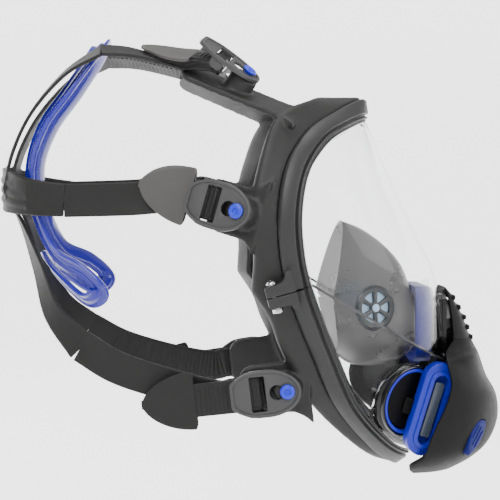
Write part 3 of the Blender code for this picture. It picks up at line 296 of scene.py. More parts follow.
# Moulded surfaces: key, material name, two close shades, roughness and its spread, mottle scale,
# grain scale and depth, and further shader settings.
SURFACES = (
    ("frame", "frame_plastic", (0.024, 0.024, 0.0245), (0.03, 0.03, 0.0305),
     0.42, 0.08, 18, 1500, 0.12, {"Specular IOR Level": 0.40}),
    ("seal", "seal_rubber", (0.018, 0.0175, 0.017), (0.023, 0.0225, 0.022),
     0.5, 0.08, 18, 1300, 0.1, {"Specular IOR Level": 0.35}),
    ("strap", "strap_rubber", (0.012, 0.0115, 0.011), (0.0155, 0.015, 0.0145),
     0.52, 0.08, 18, 1600, 0.14, {"Specular IOR Level": 0.30}),
    ("tail", "tail_rubber", (0.0099, 0.0096, 0.0092), (0.0125, 0.012, 0.0116),
     0.46, 0.08, 18, 1600, 0.12, {"Specular IOR Level": 0.30}),
    ("cover", "cover_plastic", (0.006, 0.006, 0.0058), (0.008, 0.008, 0.0077),
     0.55, 0.08, 18, 1800, 0.22, {"Specular IOR Level": 0.20}),
    ("buckle", "buckle_plastic", (0.046, 0.046, 0.047), (0.056, 0.056, 0.057),
     0.42, 0.08, 18, 1900, 0.25, {}),
    ("black", "port_plastic", (0.003, 0.003, 0.0032), (0.005, 0.005, 0.0055),
     0.16, 0.05, 18, 700, 0.02, {}),
    ("adapter", "adapter_plastic", (0.006, 0.006, 0.006), (0.01, 0.01, 0.01),
     0.24, 0.08, 18, 900, 0.04, {}),
    ("disc", "port_disc_rubber", (0.0015, 0.0015, 0.0016), (0.0025, 0.0025, 0.0025),
     0.5, 0.08, 18, 1500, 0.1, {"Specular IOR Level": 0.12}),
    ("cradle", "cradle_plastic", (0.014, 0.012, 0.3), (0.02, 0.018, 0.36),
     0.24, 0.08, 18, 800, 0.04, {"Coat Weight": 0.3}),
    ("bright_blue", "receptacle_plastic", (0.006, 0.012, 0.36), (0.01, 0.018, 0.42),
     0.33, 0.08, 18, 1200, 0.08, {}),
    ("stud", "stud_plastic", (0.01, 0.022, 0.62), (0.014, 0.03, 0.72),
     0.32, 0.08, 18, 1200, 0.06, {}),
    ("button", "button_plastic", (0.004, 0.007, 0.11), (0.006, 0.01, 0.14),
     0.45, 0.08, 18, 1700, 0.2, {"Specular IOR Level": 0.20}),
    ("collar", "collar_plastic", (0.01, 0.012, 0.22), (0.014, 0.017, 0.27),
     0.42, 0.08, 18, 1200, 0.08, {}),
    ("gasket", "gasket_silicone", (0.008, 0.015, 0.42), (0.012, 0.02, 0.48),
     0.38, 0.08, 18, 1200, 0.05, {}),
    ("nose_cup", "nose_cup_silicone", (0.24, 0.232, 0.23), (0.33, 0.32, 0.318),
     0.3, 0.08, 11, 700, 0.02, {"Transmission Weight": 0.72, "IOR": 1.2}),
    ("valve_seat", "valve_seat_plastic", (0.03, 0.033, 0.036), (0.04, 0.043, 0.047),
     0.38, 0.08, 18, 1200, 0.08, {}),
    ("valve_film", "valve_film", (0.4, 0.6, 0.82), (0.48, 0.68, 0.88),
     0.35, 0.08, 18, 900, 0.05, {}),
    ("flap", "flap_film", (0.065, 0.085, 0.12), (0.09, 0.11, 0.15),
     0.22, 0.08, 18, 700, 0.05, {"Transmission Weight": 0.25}),
    ("steel", "screw_steel", (0.62, 0.61, 0.6), (0.74, 0.73, 0.72),
     0.2, 0.08, 18, 1500, 0.05, {"Metallic": 1.0}),
    ("foil", "diaphragm_film", (0.4, 0.4, 0.41), (0.5, 0.5, 0.51),
     0.3, 0.08, 18, 900, 0.05, {"Metallic": 1.0}),
    ("leaf", "leaf_rubber", (0.058, 0.055, 0.052), (0.072, 0.068, 0.064),
     0.45, 0.08, 18, 1600, 0.1, {}),
    # The lens crease ridges are tinted grey and partly opaque. This is painted shade for the dark line the
    # clear crease shows where it bends light.
    ("lens_crease_shade", "lens_edge_polycarbonate", (0.1, 0.1, 0.105), (0.15, 0.15, 0.155),
     0.1, 0.04, 18, 700, 0.02, {"Transmission Weight": 0.55}),
)


def node(tree, kind, **settings):
    made = tree.nodes.new(kind)
    for name, value in settings.items():
        setattr(made, name, value)
    return made


def noise(tree, scale, detail, roughness=0.55):
    """Noise in the object's own coordinates."""
    place = node(tree, "ShaderNodeTexCoord")
    texture = node(tree, "ShaderNodeTexNoise")
    texture.inputs["Scale"].default_value = scale
    texture.inputs["Detail"].default_value = detail
    texture.inputs["Roughness"].default_value = roughness
    tree.links.new(place.outputs["Object"], texture.inputs["Vector"])
    return texture.outputs["Fac"]


def ramp(tree, source, low, high):
    """Colour or grey ramp between two values, over the middle of the source's range."""
    made = node(tree, "ShaderNodeValToRGB")
    for stop, place, value in zip(made.color_ramp.elements, (0.3, 0.7), (low, high)):
        stop.position = place
        stop.color = (*value, 1.0) if hasattr(value, "__len__") else (value, value, value, 1.0)
    tree.links.new(source, made.inputs["Fac"])
    return made.outputs["Color"]


def moulded(name, dark, light, roughness, rough_spread, mottle, grain, grain_depth, settings):
    """Moulded plastic or rubber: two close shades, uneven gloss and a fine moulded grain."""
    made = bpy.data.materials.new(name)
    made.use_nodes = True
    tree = made.node_tree
    shader = tree.nodes["Principled BSDF"]
    cloud = noise(tree, mottle, 6.0)
    tree.links.new(ramp(tree, cloud, dark, light), shader.inputs["Base Color"])
    smudge = noise(tree, mottle * 2.6, 5.0, 0.65)
    spread = ramp(tree, smudge, roughness - rough_spread, roughness + rough_spread)
    tree.links.new(spread, shader.inputs["Roughness"])
    fine = noise(tree, grain, 3.0, 0.6)
    coarse = noise(tree, grain * 0.12, 4.0, 0.5)
    mix = node(tree, "ShaderNodeMath", operation="MULTIPLY_ADD")
    mix.inputs[1].default_value = 0.35
    tree.links.new(coarse, mix.inputs[0])
    tree.links.new(fine, mix.inputs[2])
    bump = node(tree, "ShaderNodeBump")
    bump.inputs["Strength"].default_value = grain_depth
    bump.inputs["Distance"].default_value = 0.0005
    tree.links.new(mix.outputs[0], bump.inputs["Height"])
    tree.links.new(bump.outputs["Normal"], shader.inputs["Normal"])
    for socket, value in settings.items():
        shader.inputs[socket].default_value = value
    return made


def make_materials():
    made = {key: moulded(*settings) for key, *settings in SURFACES}
    made["lens"] = clear_lens()
    return made


def clear_lens():
    """Optically clear polycarbonate with faint smears in its gloss."""
    made = bpy.data.materials.new("lens_polycarbonate")
    made.use_nodes = True
    tree = made.node_tree
    shader = tree.nodes["Principled BSDF"]
    shader.inputs["Base Color"].default_value = (0.975, 0.985, 0.99, 1.0)
    shader.inputs["Transmission Weight"].default_value = 1.0
    shader.inputs["IOR"].default_value = 1.22
    smear = noise(tree, 22.0, 5.0, 0.6)
    tree.links.new(ramp(tree, smear, 0.0, 0.012), shader.inputs["Roughness"])
    return made


# ---------------------------------------------------------------- shape helpers

def mirrored(point, side):
    """A right-hand point or direction, taken to the wanted side."""
    return Vector((point[0], -side * point[1], point[2]))


def placement(origin, normal, along):
    """Matrix with local z on the normal and local x as near to `along` as it can be."""
    z = Vector(normal).normalized()
    x = Vector(along)
    x = (x - z * x.dot(z)).normalized()
    turn = Matrix((x, z.cross(x), z)).transposed().to_4x4()
    return Matrix.Translation(Vector(origin) * MM) @ turn


def add_object(name, mesh, surface=None, matrix=None):
    """Links a mesh into the scene, with its material and its place."""
    obj = bpy.data.objects.new(name, mesh)
    bpy.context.scene.collection.objects.link(obj)
    if matrix is not None:
        obj.matrix_world = matrix
    if surface is not None:
        mesh.materials.append(surface)
    return obj


def grid_object(name, rows, surface=None, wrap_rows=False, wrap_columns=False, caps=False):
    """Surface through rows of points; with caps, a closed tube of ringed rows."""
    mesh = bpy.data.meshes.new(name)
    build = bmesh.new()
    verts = [[build.verts.new(Vector(point) * MM) for point in row] for row in rows]
    row_count = len(rows) if wrap_rows else len(rows) - 1
    column_count = len(rows[0]) if wrap_columns else len(rows[0]) - 1
    for r in range(row_count):
        upper, lower = verts[r], verts[(r + 1) % len(rows)]
        for c in range(column_count):
            following = (c + 1) % len(upper)
            build.faces.new((upper[c], upper[following], lower[following], lower[c]))
    if caps:
        build.faces.new(verts[0])
        build.faces.new(verts[-1])
    bmesh.ops.remove_doubles(build, verts=build.verts, dist=WELD)
    if caps or (wrap_rows and wrap_columns):
        bmesh.ops.recalc_face_normals(build, faces=build.faces)
    build.to_mesh(mesh)
    build.free()
    return add_object(name, mesh, surface)


def thicken(obj, thickness, offset=0.0):
    """Gives a surface its wall; an offset of 1 grows it outward only."""
    shell = obj.modifiers.new("thickness", "SOLIDIFY")
    shell.thickness = thickness * MM
    shell.offset = offset
    return obj


def bevel(obj, width, segments=3, angle=35.0):
    """Rounds the edges that are sharper than an angle in degrees; a modifier, not yet applied."""
    edge = obj.modifiers.new("edges", "BEVEL")
    edge.width = width * MM
    edge.segments = segments
    edge.limit_method = "ANGLE"
    edge.angle_limit = math.radians(angle)
    return obj


def evaluated(obj):
    """Applies an object's modifiers."""
    bpy.context.view_layer.update()
    depsgraph = bpy.context.evaluated_depsgraph_get()
    mesh = bpy.data.meshes.new_from_object(obj.evaluated_get(depsgraph))
    obj.modifiers.clear()
    obj.data = mesh
    return obj


def soft_shade(obj, angle):
    """Applies the modifiers and shades smooth, with sharp edges kept."""
    evaluated(obj)
    obj.data.shade_smooth()
    obj.data.set_sharp_from_angle(angle=math.radians(angle))
    return obj


def curve_mesh(curve):
    """A curve's mesh, with no material."""
    source = bpy.data.objects.new(curve.name, curve)
    bpy.context.scene.collection.objects.link(source)
    bpy.context.view_layer.update()
    depsgraph = bpy.context.evaluated_depsgraph_get()
    mesh = bpy.data.meshes.new_from_object(source.evaluated_get(depsgraph))
    bpy.data.objects.remove(source, do_unlink=True)
    mesh.materials.clear()
    return mesh


def plate(name, outlines, low, high, surface=None, matrix=None):
    """Flat outline extruded from `low` to `high` on the local z axis."""
    curve = bpy.data.curves.new(name, "CURVE")
    curve.dimensions = "2D"
    curve.fill_mode = "BOTH"
    curve.extrude = (high - low) * MM / 2
    for outline in outlines:
        spline = curve.splines.new("POLY")
        spline.points.add(len(outline) - 1)
        for point, (x, y) in zip(spline.points, outline):
            point.co = (x * MM, y * MM, 0.0, 1.0)
        spline.use_cyclic_u = True
    mesh = curve_mesh(curve)
    build = bmesh.new()
    build.from_mesh(mesh)
    bmesh.ops.remove_doubles(build, verts=build.verts, dist=WELD)
    bmesh.ops.recalc_face_normals(build, faces=build.faces)
    bmesh.ops.dissolve_limit(build, angle_limit=0.01, verts=build.verts, edges=build.edges)
    build.to_mesh(mesh)
    build.free()
    lift = Matrix.Translation((0.0, 0.0, (low + high) / 2 * MM))
    return add_object(name, mesh, surface, (matrix or Matrix()) @ lift)


def turned(name, profile, surface=None, matrix=None, steps=72):
    """Turned solid; the profile runs down its outer side."""
    mesh = bpy.data.meshes.new(name)
    points = [(radius * MM, 0.0, height * MM) for radius, height in profile]
    edges = [(i, i + 1) for i in range(len(points) - 1)]
    if profile[0][0] > 0.0:
        edges.append((len(points) - 1, 0))
    mesh.from_pydata(points, edges, [])
    obj = add_object(name, mesh, surface, matrix)
    screw = obj.modifiers.new("turn", "SCREW")
    screw.steps = steps
    screw.render_steps = steps
    screw.use_merge_vertices = True
    screw.merge_threshold = WELD
    return obj


def combine(obj, tool, operation):
    """Boolean, applied at once, with the tool removed."""
    step = obj.modifiers.new(operation.lower(), "BOOLEAN")
    step.operation = operation
    step.object = tool
    evaluated(obj)
    bpy.data.objects.remove(tool, do_unlink=True)
    return obj


def joined(name, objects):
    """One mesh object from several, in world coordinates."""
    build = bmesh.new()
    for obj in objects:
        evaluated(obj)
        mesh = obj.data.copy()
        mesh.transform(obj.matrix_world)
        build.from_mesh(mesh)
        bpy.data.meshes.remove(mesh)
    mesh = bpy.data.meshes.new(name)
    build.to_mesh(mesh)
    build.free()
    for surface in objects[0].data.materials:
        mesh.materials.append(surface)
    for obj in objects:
        bpy.data.objects.remove(obj, do_unlink=True)
    return add_object(name, mesh)


def fused(name, objects, voxel, smoothing):
    """Overlapping solids melted into one skin with fillets where they meet."""
    obj = joined(name, objects)
    remesh = obj.modifiers.new("melt", "REMESH")
    remesh.mode = "VOXEL"
    remesh.voxel_size = voxel * MM
    relax = obj.modifiers.new("relax", "SMOOTH")
    relax.factor = 0.5
    relax.iterations = smoothing
    evaluated(obj)
    obj.data.shade_smooth()
    return obj


def smooth(rows, steps, before=None, after=None):
    """Catmull-Rom samples through rows of numbers."""
    first = before or tuple(2 * a - b for a, b in zip(rows[0], rows[1]))
    last = after or tuple(2 * a - b for a, b in zip(rows[-1], rows[-2]))
    padded = [first, *rows, last]
    samples = []
    for i in range(1, len(padded) - 2):
        p0, p1, p2, p3 = padded[i - 1:i + 3]
        for k in range(steps):
            t = k / steps
            samples.append(tuple(
                0.5 * (2 * b + (c - a) * t + (2 * a - 5 * b + 4 * c - d) * t * t
                       + (3 * b - a - 3 * c + d) * t ** 3)
                for a, b, c, d in zip(p0, p1, p2, p3)))
    samples.append(tuple(rows[-1]))
    return samples


def arc(x, y, radius, start, end, steps):
    """Points on an arc, angles in degrees."""
    angles = [math.radians(start + (end - start) * i / steps) for i in range(steps + 1)]
    return [(x + radius * math.cos(a), y + radius * math.sin(a)) for a in angles]


def circle(radius):
    """Full circle in steps of 5 degrees."""
    return arc(0, 0, radius, 0, 355, 71)


def stadium(half_length, half_width, steps=20):
    """Rounded slot shape, long on x."""
    reach = half_length - half_width
    return arc(reach, 0, half_width, -90, 90, steps) + arc(-reach, 0, half_width, 90, 270, steps)


def rounded_rectangle(low, high, radius, steps=8):
    """Rectangle between two corners, with its own corners rounded."""
    (x0, y0), (x1, y1) = low, high
    corners = ((x1 - radius, y0 + radius, -90), (x1 - radius, y1 - radius, 0),
               (x0 + radius, y1 - radius, 90), (x0 + radius, y0 + radius, 180))
    return [point for x, y, start in corners for point in arc(x, y, radius, start, start + 90, steps)]


def sweep(name, frames, sections, surface, closed=False):
    """Solid through cross-sections; a frame is (point, across, normal), a section lists (u, v)."""
    rows = []
    for (point, across, normal), section in zip(frames, sections):
        rows.append([point + across * u + normal * v for u, v in section])
    return grid_object(name, rows, surface, closed, True, not closed)


def band_frames(samples, closed=False):
    """Frames along samples of (point, normal, width), with the widths beside them."""
    frames, widths = [], []
    count = len(samples)
    for i, (point, normal, width) in enumerate(samples):
        ahead = Vector(samples[(i + 1) % count if closed else min(i + 1, count - 1)][0])
        behind = Vector(samples[i - 1 if closed or i else 0][0])
        along = (ahead - behind).normalized()
        across = along.cross(Vector(normal)).normalized()
        frames.append((Vector(point), across, across.cross(along)))
        widths.append(width)
    return frames, widths


def soft_band(width, thickness, edge=0.55, rib=0.0, bead=0.0):
    """Strap section: rounded edges, an optional raised bead along them, and a rib on the inner face."""
    u, v = width / 2, thickness / 2
    r = min(edge, v * 0.95)
    inset = 1.5
    return [
        (-u + r, v + bead), (-u + r + 0.9, v + bead), (-u + r + 1.5, v), (u - r - 1.5, v),
        (u - r - 0.9, v + bead), (u - r, v + bead),
        (u - 0.25 * r, v - 0.3 * r), (u, v - r), (u, -v + r), (u - 0.25 * r, -v + 0.3 * r), (u - r, -v),
        (u - r - inset, -v), (u - r - inset - 0.25, -v - rib), (-u + r + inset + 0.25, -v - rib),
        (-u + r + inset, -v), (-u + r, -v),
        (-u + 0.25 * r, -v + 0.3 * r), (-u, -v + r), (-u, v - r), (-u + 0.25 * r, v - 0.3 * r),
    ]


def finish_piece(obj, angle, body, slot, *nodes):
    """Puts a piece on its body and hides the CAD nodes it stands for.

    The angle, in degrees, is where edges stay sharp; with None the piece is shaded already. The slot is not
    used.
    """
    if angle is not None:
        soft_shade(obj, angle)
    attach(obj, body)
    if nodes:
        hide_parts(*nodes)
    return obj


# ---------------------------------------------------------------- rim, frame and lens

def flip_station(row):
    return tuple(-value if i in (1, 7) else value for i, value in enumerate(row))


def rim_samples(steps):
    """Samples from brow to cheek and from cheek to chin, each with the band's direction added."""
    upper = smooth(BROW_TO_CHEEK, steps, before=flip_station(BROW_TO_CHEEK[1]))
    lower = smooth(CHEEK_TO_CHIN, steps, after=flip_station(CHEEK_TO_CHIN[-2]))
    whole = [flip_station(upper[1]), *upper, *lower[1:], flip_station(lower[-2])]
    directed = []
    for behind, row, ahead in zip(whole, whole[1:], whole[2:]):
        along = (Vector(ahead[:3]) - Vector(behind[:3])).normalized()
        to_crest = Vector((row[3] - row[0], 0.0, row[4] - row[2])).normalized()
        across = (to_crest - along * to_crest.dot(along)).normalized()
        directed.append((*row, *across))
    return directed[:len(upper)], directed[len(upper) - 1:]


def rim_point(row, side, offset):
    """Point on the band's middle surface, `offset` towards the lens."""
    x, y, z = (place + across * offset for place, across in zip(row[:3], row[9:]))
    return Vector((x, side * y, z))


def cheek_axes(side):
    """Frame at the cheek joint: local x forward along the split, local z up the rim."""
    row = rim_samples(1)[0][-1]
    forward = (row[9], 0.0, row[11])
    return placement((row[0], side * CHEEK_HALF_WIDTH, row[2]), (-row[11], 0.0, row[9]), forward)


def trimmed(samples, end, amount):
    """Samples with one end moved `amount` inward along the rim."""
    near, beyond = (samples[0], samples[1]) if end == 0 else (samples[-1], samples[-2])
    span = (Vector(beyond[:3]) - Vector(near[:3])).length
    moved = tuple(a + (b - a) * amount / span for a, b in zip(near, beyond))
    return [moved, *samples[1:]] if end == 0 else [*samples[:-1], moved]


# Section of the frame band: across towards the lens, and outward. A flat outer face, then a
# groove, an inner rib and the thin lip that grips the lens.
BAND_SECTION = (
    (-7.2, -4.0), (-7.2, 1.9), (-6.9, 2.5), (-5.9, 3.7), (-5.3, 4.0), (1.6, 4.0), (2.2, 3.8), (2.6, 3.2),
    (2.8, 2.0), (3.3, 1.6), (3.8, 2.1), (4.2, 2.7), (4.8, 2.9), (5.3, 2.6), (5.5, 1.5), (5.8, 1.2),
    (6.3, 1.3),
    (6.7, 0.9), (6.7, -1.6), (6.0, -4.0),
)


def frame_half(name, samples, surface):
    """One half of the frame: the band's section swept from the right cheek to the left."""
    path = [(row, -1) for row in reversed(samples)] + [(row, 1) for row in samples[1:]]
    frames = []
    points = [rim_point(row, side, 0.0) for row, side in path]
    for i, (row, side) in enumerate(path):
        along = (points[min(i + 1, len(points) - 1)] - points[max(i - 1, 0)]).normalized()
        across = Vector((row[9], side * row[10], row[11]))
        across = (across - along * across.dot(along)).normalized()
        normal = across.cross(along)
        if normal.dot(points[i] - FRAME_CENTRE) < 0.0:
            normal.negate()
        frames.append((points[i], across, normal))
    return sweep(name, frames, [BAND_SECTION] * len(frames), surface)


def lug_outline(up):
    """Lug on the split line with a concave corner where it leaves the band; x back, y up the rim."""
    fillet = 6.0
    corner = (-BAND_HALF_WIDTH - 0.6 - fillet, LUG_HEIGHT + fillet)
    if up:
        rise = arc(*corner, fillet, -90, 0, 10)
    else:
        rise = arc(corner[0] + 2.5, corner[1] - 2.5, fillet - 2.5, -90, 0, 8)
    back = [(LUG_BACK + 1.5, LUG_HEIGHT), (LUG_BACK + 0.4, LUG_HEIGHT - 0.4), (LUG_BACK, LUG_HEIGHT - 1.5)]
    points = [(LUG_FRONT, SPLIT_GAP), (LUG_FRONT, rise[-1][1]), *reversed(rise), *back, (LUG_BACK, SPLIT_GAP)]
    return points if up else [(x, -y) for x, y in points]


def build_frame(surfaces):
    upper, lower = rim_samples(RIM_STEPS)
    top = frame_half("upper_frame_moulding", trimmed(upper, -1, SPLIT_GAP), surfaces["frame"])
    bottom = frame_half("lower_frame_moulding", trimmed(lower, 0, SPLIT_GAP)[::-1], surfaces["frame"])
    for half, up in ((top, True), (bottom, False)):
        for _, side in SIDES:
            # The outline's x is the split's forward axis and its y runs up the rim.
            axes = cheek_axes(side) @ Matrix.Rotation(math.radians(90), 4, "X")
            lug = plate("lug", [lug_outline(up)], -LUG_HALF_WIDTH, LUG_HALF_WIDTH, None, axes)
            combine(half, lug, "UNION")
        bevel(half, 0.45, 2, 40)
    finish_piece(top, 32, "root", "frame_plastic", "upper_frame")
    finish_piece(bottom, 32, "root", "frame_plastic", "lower_frame")
    for label, side in SIDES:
        axes = cheek_axes(side) @ Matrix.Translation((SCREW_BACK * MM, 0.0, 0.0))
        build_screw(label, axes, surfaces["steel"])


def build_screw(label, axes, steel):
    """Pan-head screw with a cross recess, and its nut."""
    seat = LUG_HEIGHT + 0.6
    top = seat + 2.2
    profile = ((0, top), (0.9, top - 0.02), (1.8, top - 0.25), (2.6, top - 0.75), (3.1, top - 1.4),
               (3.2, top - 1.9), (3.0, seat), (1.6, seat), (1.6, -seat - 2.6), (0, -seat - 2.6))
    screw = turned("frame_screw_body_" + label, profile, steel, axes, 48)
    evaluated(screw)
    for angle in (20, 110):
        turn = axes @ Matrix.Rotation(math.radians(angle), 4, "Z")
        slot = plate("recess", [rounded_rectangle((-1.7, -0.35), (1.7, 0.35), 0.2, 2)],
                     top - 1.1, top + 1.0, None, turn)
        combine(screw, slot, "DIFFERENCE")
    finish_piece(screw, 40, "root", "screw_steel", "frame_screw_" + label)
    ring = [arc(0, 0, 3.2, 0, 300, 5), arc(0, 0, 1.8, 0, 345, 23)]
    nut = plate("frame_nut_body_" + label, ring, -seat - 2.2, -seat, steel, axes)
    bevel(nut, 0.25, 2)
    finish_piece(nut, 35, "root", "screw_steel", "frame_nut_" + label)


def lens_row(row):
    """Section of the lens from the right rim over the crest to the left rim."""
    start = rim_point(row, 1, BAND_HALF_WIDTH + LENS_EDGE_GAP)
    crest = Vector((row[3], 0.0, row[4]))
    points = []
    for i in range(LENS_COLUMNS + 1):
        angle = math.pi * (i / LENS_COLUMNS - 0.5)
        across = math.copysign(abs(math.sin(angle)) ** (2 / row[5]), angle) * start.y
        reach = max(math.cos(angle), 0.0) ** (2 / row[5])
        point = start.lerp(crest, reach)
        points.append((point.x, across, point.z))
    return points


def port_axes(side):
    return placement(mirrored(PORT_FACE, side), mirrored(PORT_AXIS, side), (0, 0, 1))


def neck_axes():
    """Local x is world z, local y is world y reversed, and local z is world x."""
    return placement((0, 0, 0), (1, 0, 0), (0, 0, 1))


def lens_creases(row, surface):
    """Moulded edge from each cheek to the front, where the upper and lower panels meet; its grey tint is
    painted shade along the crease.
    """
    ridges = []
    line = [Vector(point) for point in lens_row(row)]
    for points in (line[:LENS_COLUMNS // 2], line[LENS_COLUMNS // 2 + 1:]):
        points = [point for point in points if abs(point.y) > CREASE_END]
        samples = [(point, (point - FACE_CENTRE).normalized(), 0.0) for point in points]
        frames = band_frames(samples)[0]
        half = LENS_THICKNESS / 2
        section = [(-0.75, half + 0.05), (-0.3, half + 0.7), (0.3, half + 0.7), (0.75, half + 0.05)]
        ridges.append(sweep("crease", frames, [section] * len(frames), surface))
    return ridges


def build_lens(surfaces):
    upper, lower = rim_samples(6)
    rows = [lens_row(row) for row in upper[2:] + lower[1:-2]]
    lens = thicken(grid_object("lens_shell", rows, surfaces["lens"]), LENS_THICKNESS)
    evaluated(lens)
    lens.name = "lens_moulding"
    for _, side in SIDES:
        hole = circle(PORT_RADIUS + NECK_HOLE_MARGIN)
        combine(lens, plate("port_hole", [hole], *PORT_HOLE_SPAN, None, port_axes(side)), "DIFFERENCE")
    opening = rounded_rectangle((NECK_BOTTOM_Z - NECK_HOLE_MARGIN, -NECK_HALF_WIDTH - NECK_HOLE_MARGIN),
                                (NECK_TOP_Z + NECK_HOLE_MARGIN, NECK_HALF_WIDTH + NECK_HOLE_MARGIN), 6.6)
    combine(lens, plate("neck_hole", [opening], *NECK_HOLE_SPAN, None, neck_axes()), "DIFFERENCE")
    finish_piece(lens, 28, "root", "lens", "lens")
    # The crease ridges take the grey painted-shade tint.
    edges = joined("lens_panel_edges", lens_creases(upper[-1], surfaces["lens_crease_shade"]))
    finish_piece(edges, 50, "root", "lens")


# ---------------------------------------------------------------- seal and tabs

def seal_rows(samples):
    """Sections of the face seal: wall, rolled edge and lip towards the face opening."""
    rows = []
    for row, side in samples:
        front = rim_point(row, side, -BAND_HALF_WIDTH - SEAL_STANDOFF)
        back = Vector((row[6], side * row[7], row[8]))
        inward = SEAL_CENTRE - back
        inward.x *= 0.25
        inward.normalize()
        depth = front - back
        rise = depth.normalized()
        section = (
            front,
            back + depth * 0.45 - inward * 0.3,
            back,
            back + inward * SEAL_LIP * 0.3 - rise * 1.5,
            back + inward * SEAL_LIP + rise * 2.0,
        )
        rows.append(smooth([tuple(point) for point in section], 5))
    return rows


def anchor(kind, side, joints):
    """Frame of one strap anchorage, from its buckle's joint: local x strap-ward, local z outward."""
    label = "right" if side < 0 else "left"
    joint = joints["buckle_%s_%s_swivel" % (kind, label)]
    origin = Vector(joint["pos_m"]) / MM
    return placement(origin, joint["axis"], mirrored(ALONG[kind], side))


def tab_outline(kind):
    """Tongue with a full round end, flaring into the seal at its root."""
    half, flare = TAB_HALF_WIDTH, TAB_FLARE[kind]
    root, tip = TAB_ROOT[kind], TAB_REACH[kind]
    corner = 9.0
    end = arc(tip - corner, half - corner, corner, 90, 0, 8)
    end += arc(tip - corner, -half + corner, corner, 0, -90, 8)
    upper = [(root, half + flare)]
    for i in range(1, 9):
        share = i / 8
        upper.append((root + flare * 1.6 * share, half + flare * (1 - share) ** 2.2))
    return upper + end + [(x, -y) for x, y in reversed(upper)]


def build_seal(surfaces, joints):
    upper, lower = rim_samples(6)
    half = upper + lower[1:]
    ring = [(row, -1) for row in half] + [(row, 1) for row in reversed(half[1:-1])]
    skin = grid_object("seal_skin", seal_rows(ring), surfaces["seal"], wrap_rows=True)
    solids = [thicken(skin, SEAL_THICKNESS)]
    for kind in KINDS:
        for _, side in SIDES:
            stud = anchor(kind, side, joints)
            foot = Matrix.Translation((0.0, 0.0, -TAB_DEPTH * MM))
            axes = stud @ foot @ Matrix.Rotation(math.radians(TAB_PITCH[kind]), 4, "Y")
            solids.append(plate("tab", [tab_outline(kind)], -TAB_THICKNESS, 0.0, None, axes))
            profile = ((0, -2.9), (BOSS_RADIUS, -2.9), (BOSS_RADIUS + 1, -TAB_DEPTH - 2), (0, -TAB_DEPTH - 2))
            solids.append(turned("boss", profile, None, stud, 40))
    seal = fused("face_seal_moulding", solids, SEAL_VOXEL, 5)
    finish_piece(seal, None, "root", "seal_rubber", "face_seal")


# ---------------------------------------------------------------- buckles, straps and studs

def buckle_outline(inset=0.0):
    """Shield shape: an elliptic nose round the stud and a squared strap end."""
    middle = 12.0
    reach = middle - BUCKLE_NOSE - inset
    half = BUCKLE_HALF_WIDTH - inset
    nose = [(middle + reach * math.cos(math.radians(90 + 6 * i)), half * math.sin(math.radians(90 + 6 * i)))
            for i in range(31)]
    flank = [(18.0, -half + 0.1), (22.5, -half + 0.7), (25.5, -half + 2.0), (28.4, -10.4 + inset)]
    end = BUCKLE_END - inset
    corner = [(end - 1.8, -BUCKLE_END_HALF - 0.6 + inset * 0.7),
              (end - 0.4, -BUCKLE_END_HALF + 0.6 + inset * 0.6),
              (end, -BUCKLE_END_HALF + 2.2 + inset * 0.6)]
    lower = flank + corner
    return nose + lower + [(x, -y) for x, y in reversed(lower)]


def keyhole_outline():
    """Round hole for the stud's head, running into a slot for its neck."""
    neck = STUD_RADIUS + 0.3
    meet = math.degrees(math.asin(neck / KEYHOLE_RADIUS))
    big = arc(KEYHOLE_CENTRE, 0, KEYHOLE_RADIUS, -180 + meet, 180 - meet, 28)
    return big + arc(0, 0, neck, 90, 270, 14)


def buckle_mesh(surface):
    """One buckle at the origin, shared by all six: plate, raised rim, bar and its cheeks."""
    window = rounded_rectangle(*WINDOW, 0.8, 4)
    sheet = plate("sheet", [buckle_outline(0.6), window, keyhole_outline()], -PLATE_THICKNESS, -0.8, surface)
    rim = plate("rim", [buckle_outline(), buckle_outline(1.9)], -PLATE_THICKNESS - 0.2, 0.0, surface)
    bevel(rim, 0.55, 4)
    bevel(sheet, 0.2, 2)
    pieces = [sheet, rim]
    for side in (-1, 1):
        y = side * (WINDOW[1][1] + 1.4)
        cheek = plate("cheek", [rounded_rectangle((BAR_A - 4, -8.0), (BAR_A + 4, -1.4), 2.6, 6)],
                      -1.2, 1.2, surface, placement((0, y, 0), (0, -1, 0), (1, 0, 0)))
        bevel(cheek, 0.3, 2)
        pieces.append(cheek)
    across = placement((BAR_A, 0, BAR_N), (0, 1, 0), (1, 0, 0))
    reach = WINDOW[1][1] + 1.0
    pieces.append(turned("bar", ((0, reach), (BAR_RADIUS, reach), (BAR_RADIUS, -reach), (0, -reach)),
                         surface, across, 32))
    whole = joined("buckle_master", pieces)
    mesh = soft_shade(whole, 40).data
    bpy.data.objects.remove(whole, do_unlink=True)
    return mesh


def build_stud(name, axes, surface):
    """Mushroom head with a dished top and a small centre well."""
    foot = -TAB_DEPTH + 0.8
    profile = ((0, 0.9), (1.3, 0.9), (1.6, 1.1), (1.8, 1.9), (2.1, 2.2), (2.9, 2.25), (3.6, 2.0), (4.1, 1.5),
               (STUD_HEAD_RADIUS, 1.0), (STUD_HEAD_RADIUS, 0.6), (4.0, 0.3), (STUD_RADIUS, 0.3),
               (STUD_RADIUS, foot), (0, foot))
    stud = turned("stud_body_" + name, profile, surface, axes, 48)
    finish_piece(stud, 50, "root", "stud_plastic", "stud_" + name)


def in_buckle(kind, a, n):
    """A point of the strap's own plane, given from the bar, in the buckle's frame."""
    turn = math.radians(-STRAP_PITCH[kind])
    return (BAR_A + a * math.cos(turn) - n * math.sin(turn), BAR_N + a * math.sin(turn) + n * math.cos(turn))


def leaf_half_width(share):
    """Pointed oval with a round tip; the wide end has rounded shoulders."""
    body = LEAF_HALF_WIDTH * max(1 - share ** 2.1, 0.0) ** 0.62
    shoulder = 1 - max(0.0, 1 - share / 0.05) ** 2 * 0.16
    return max(body * shoulder, 0.6)


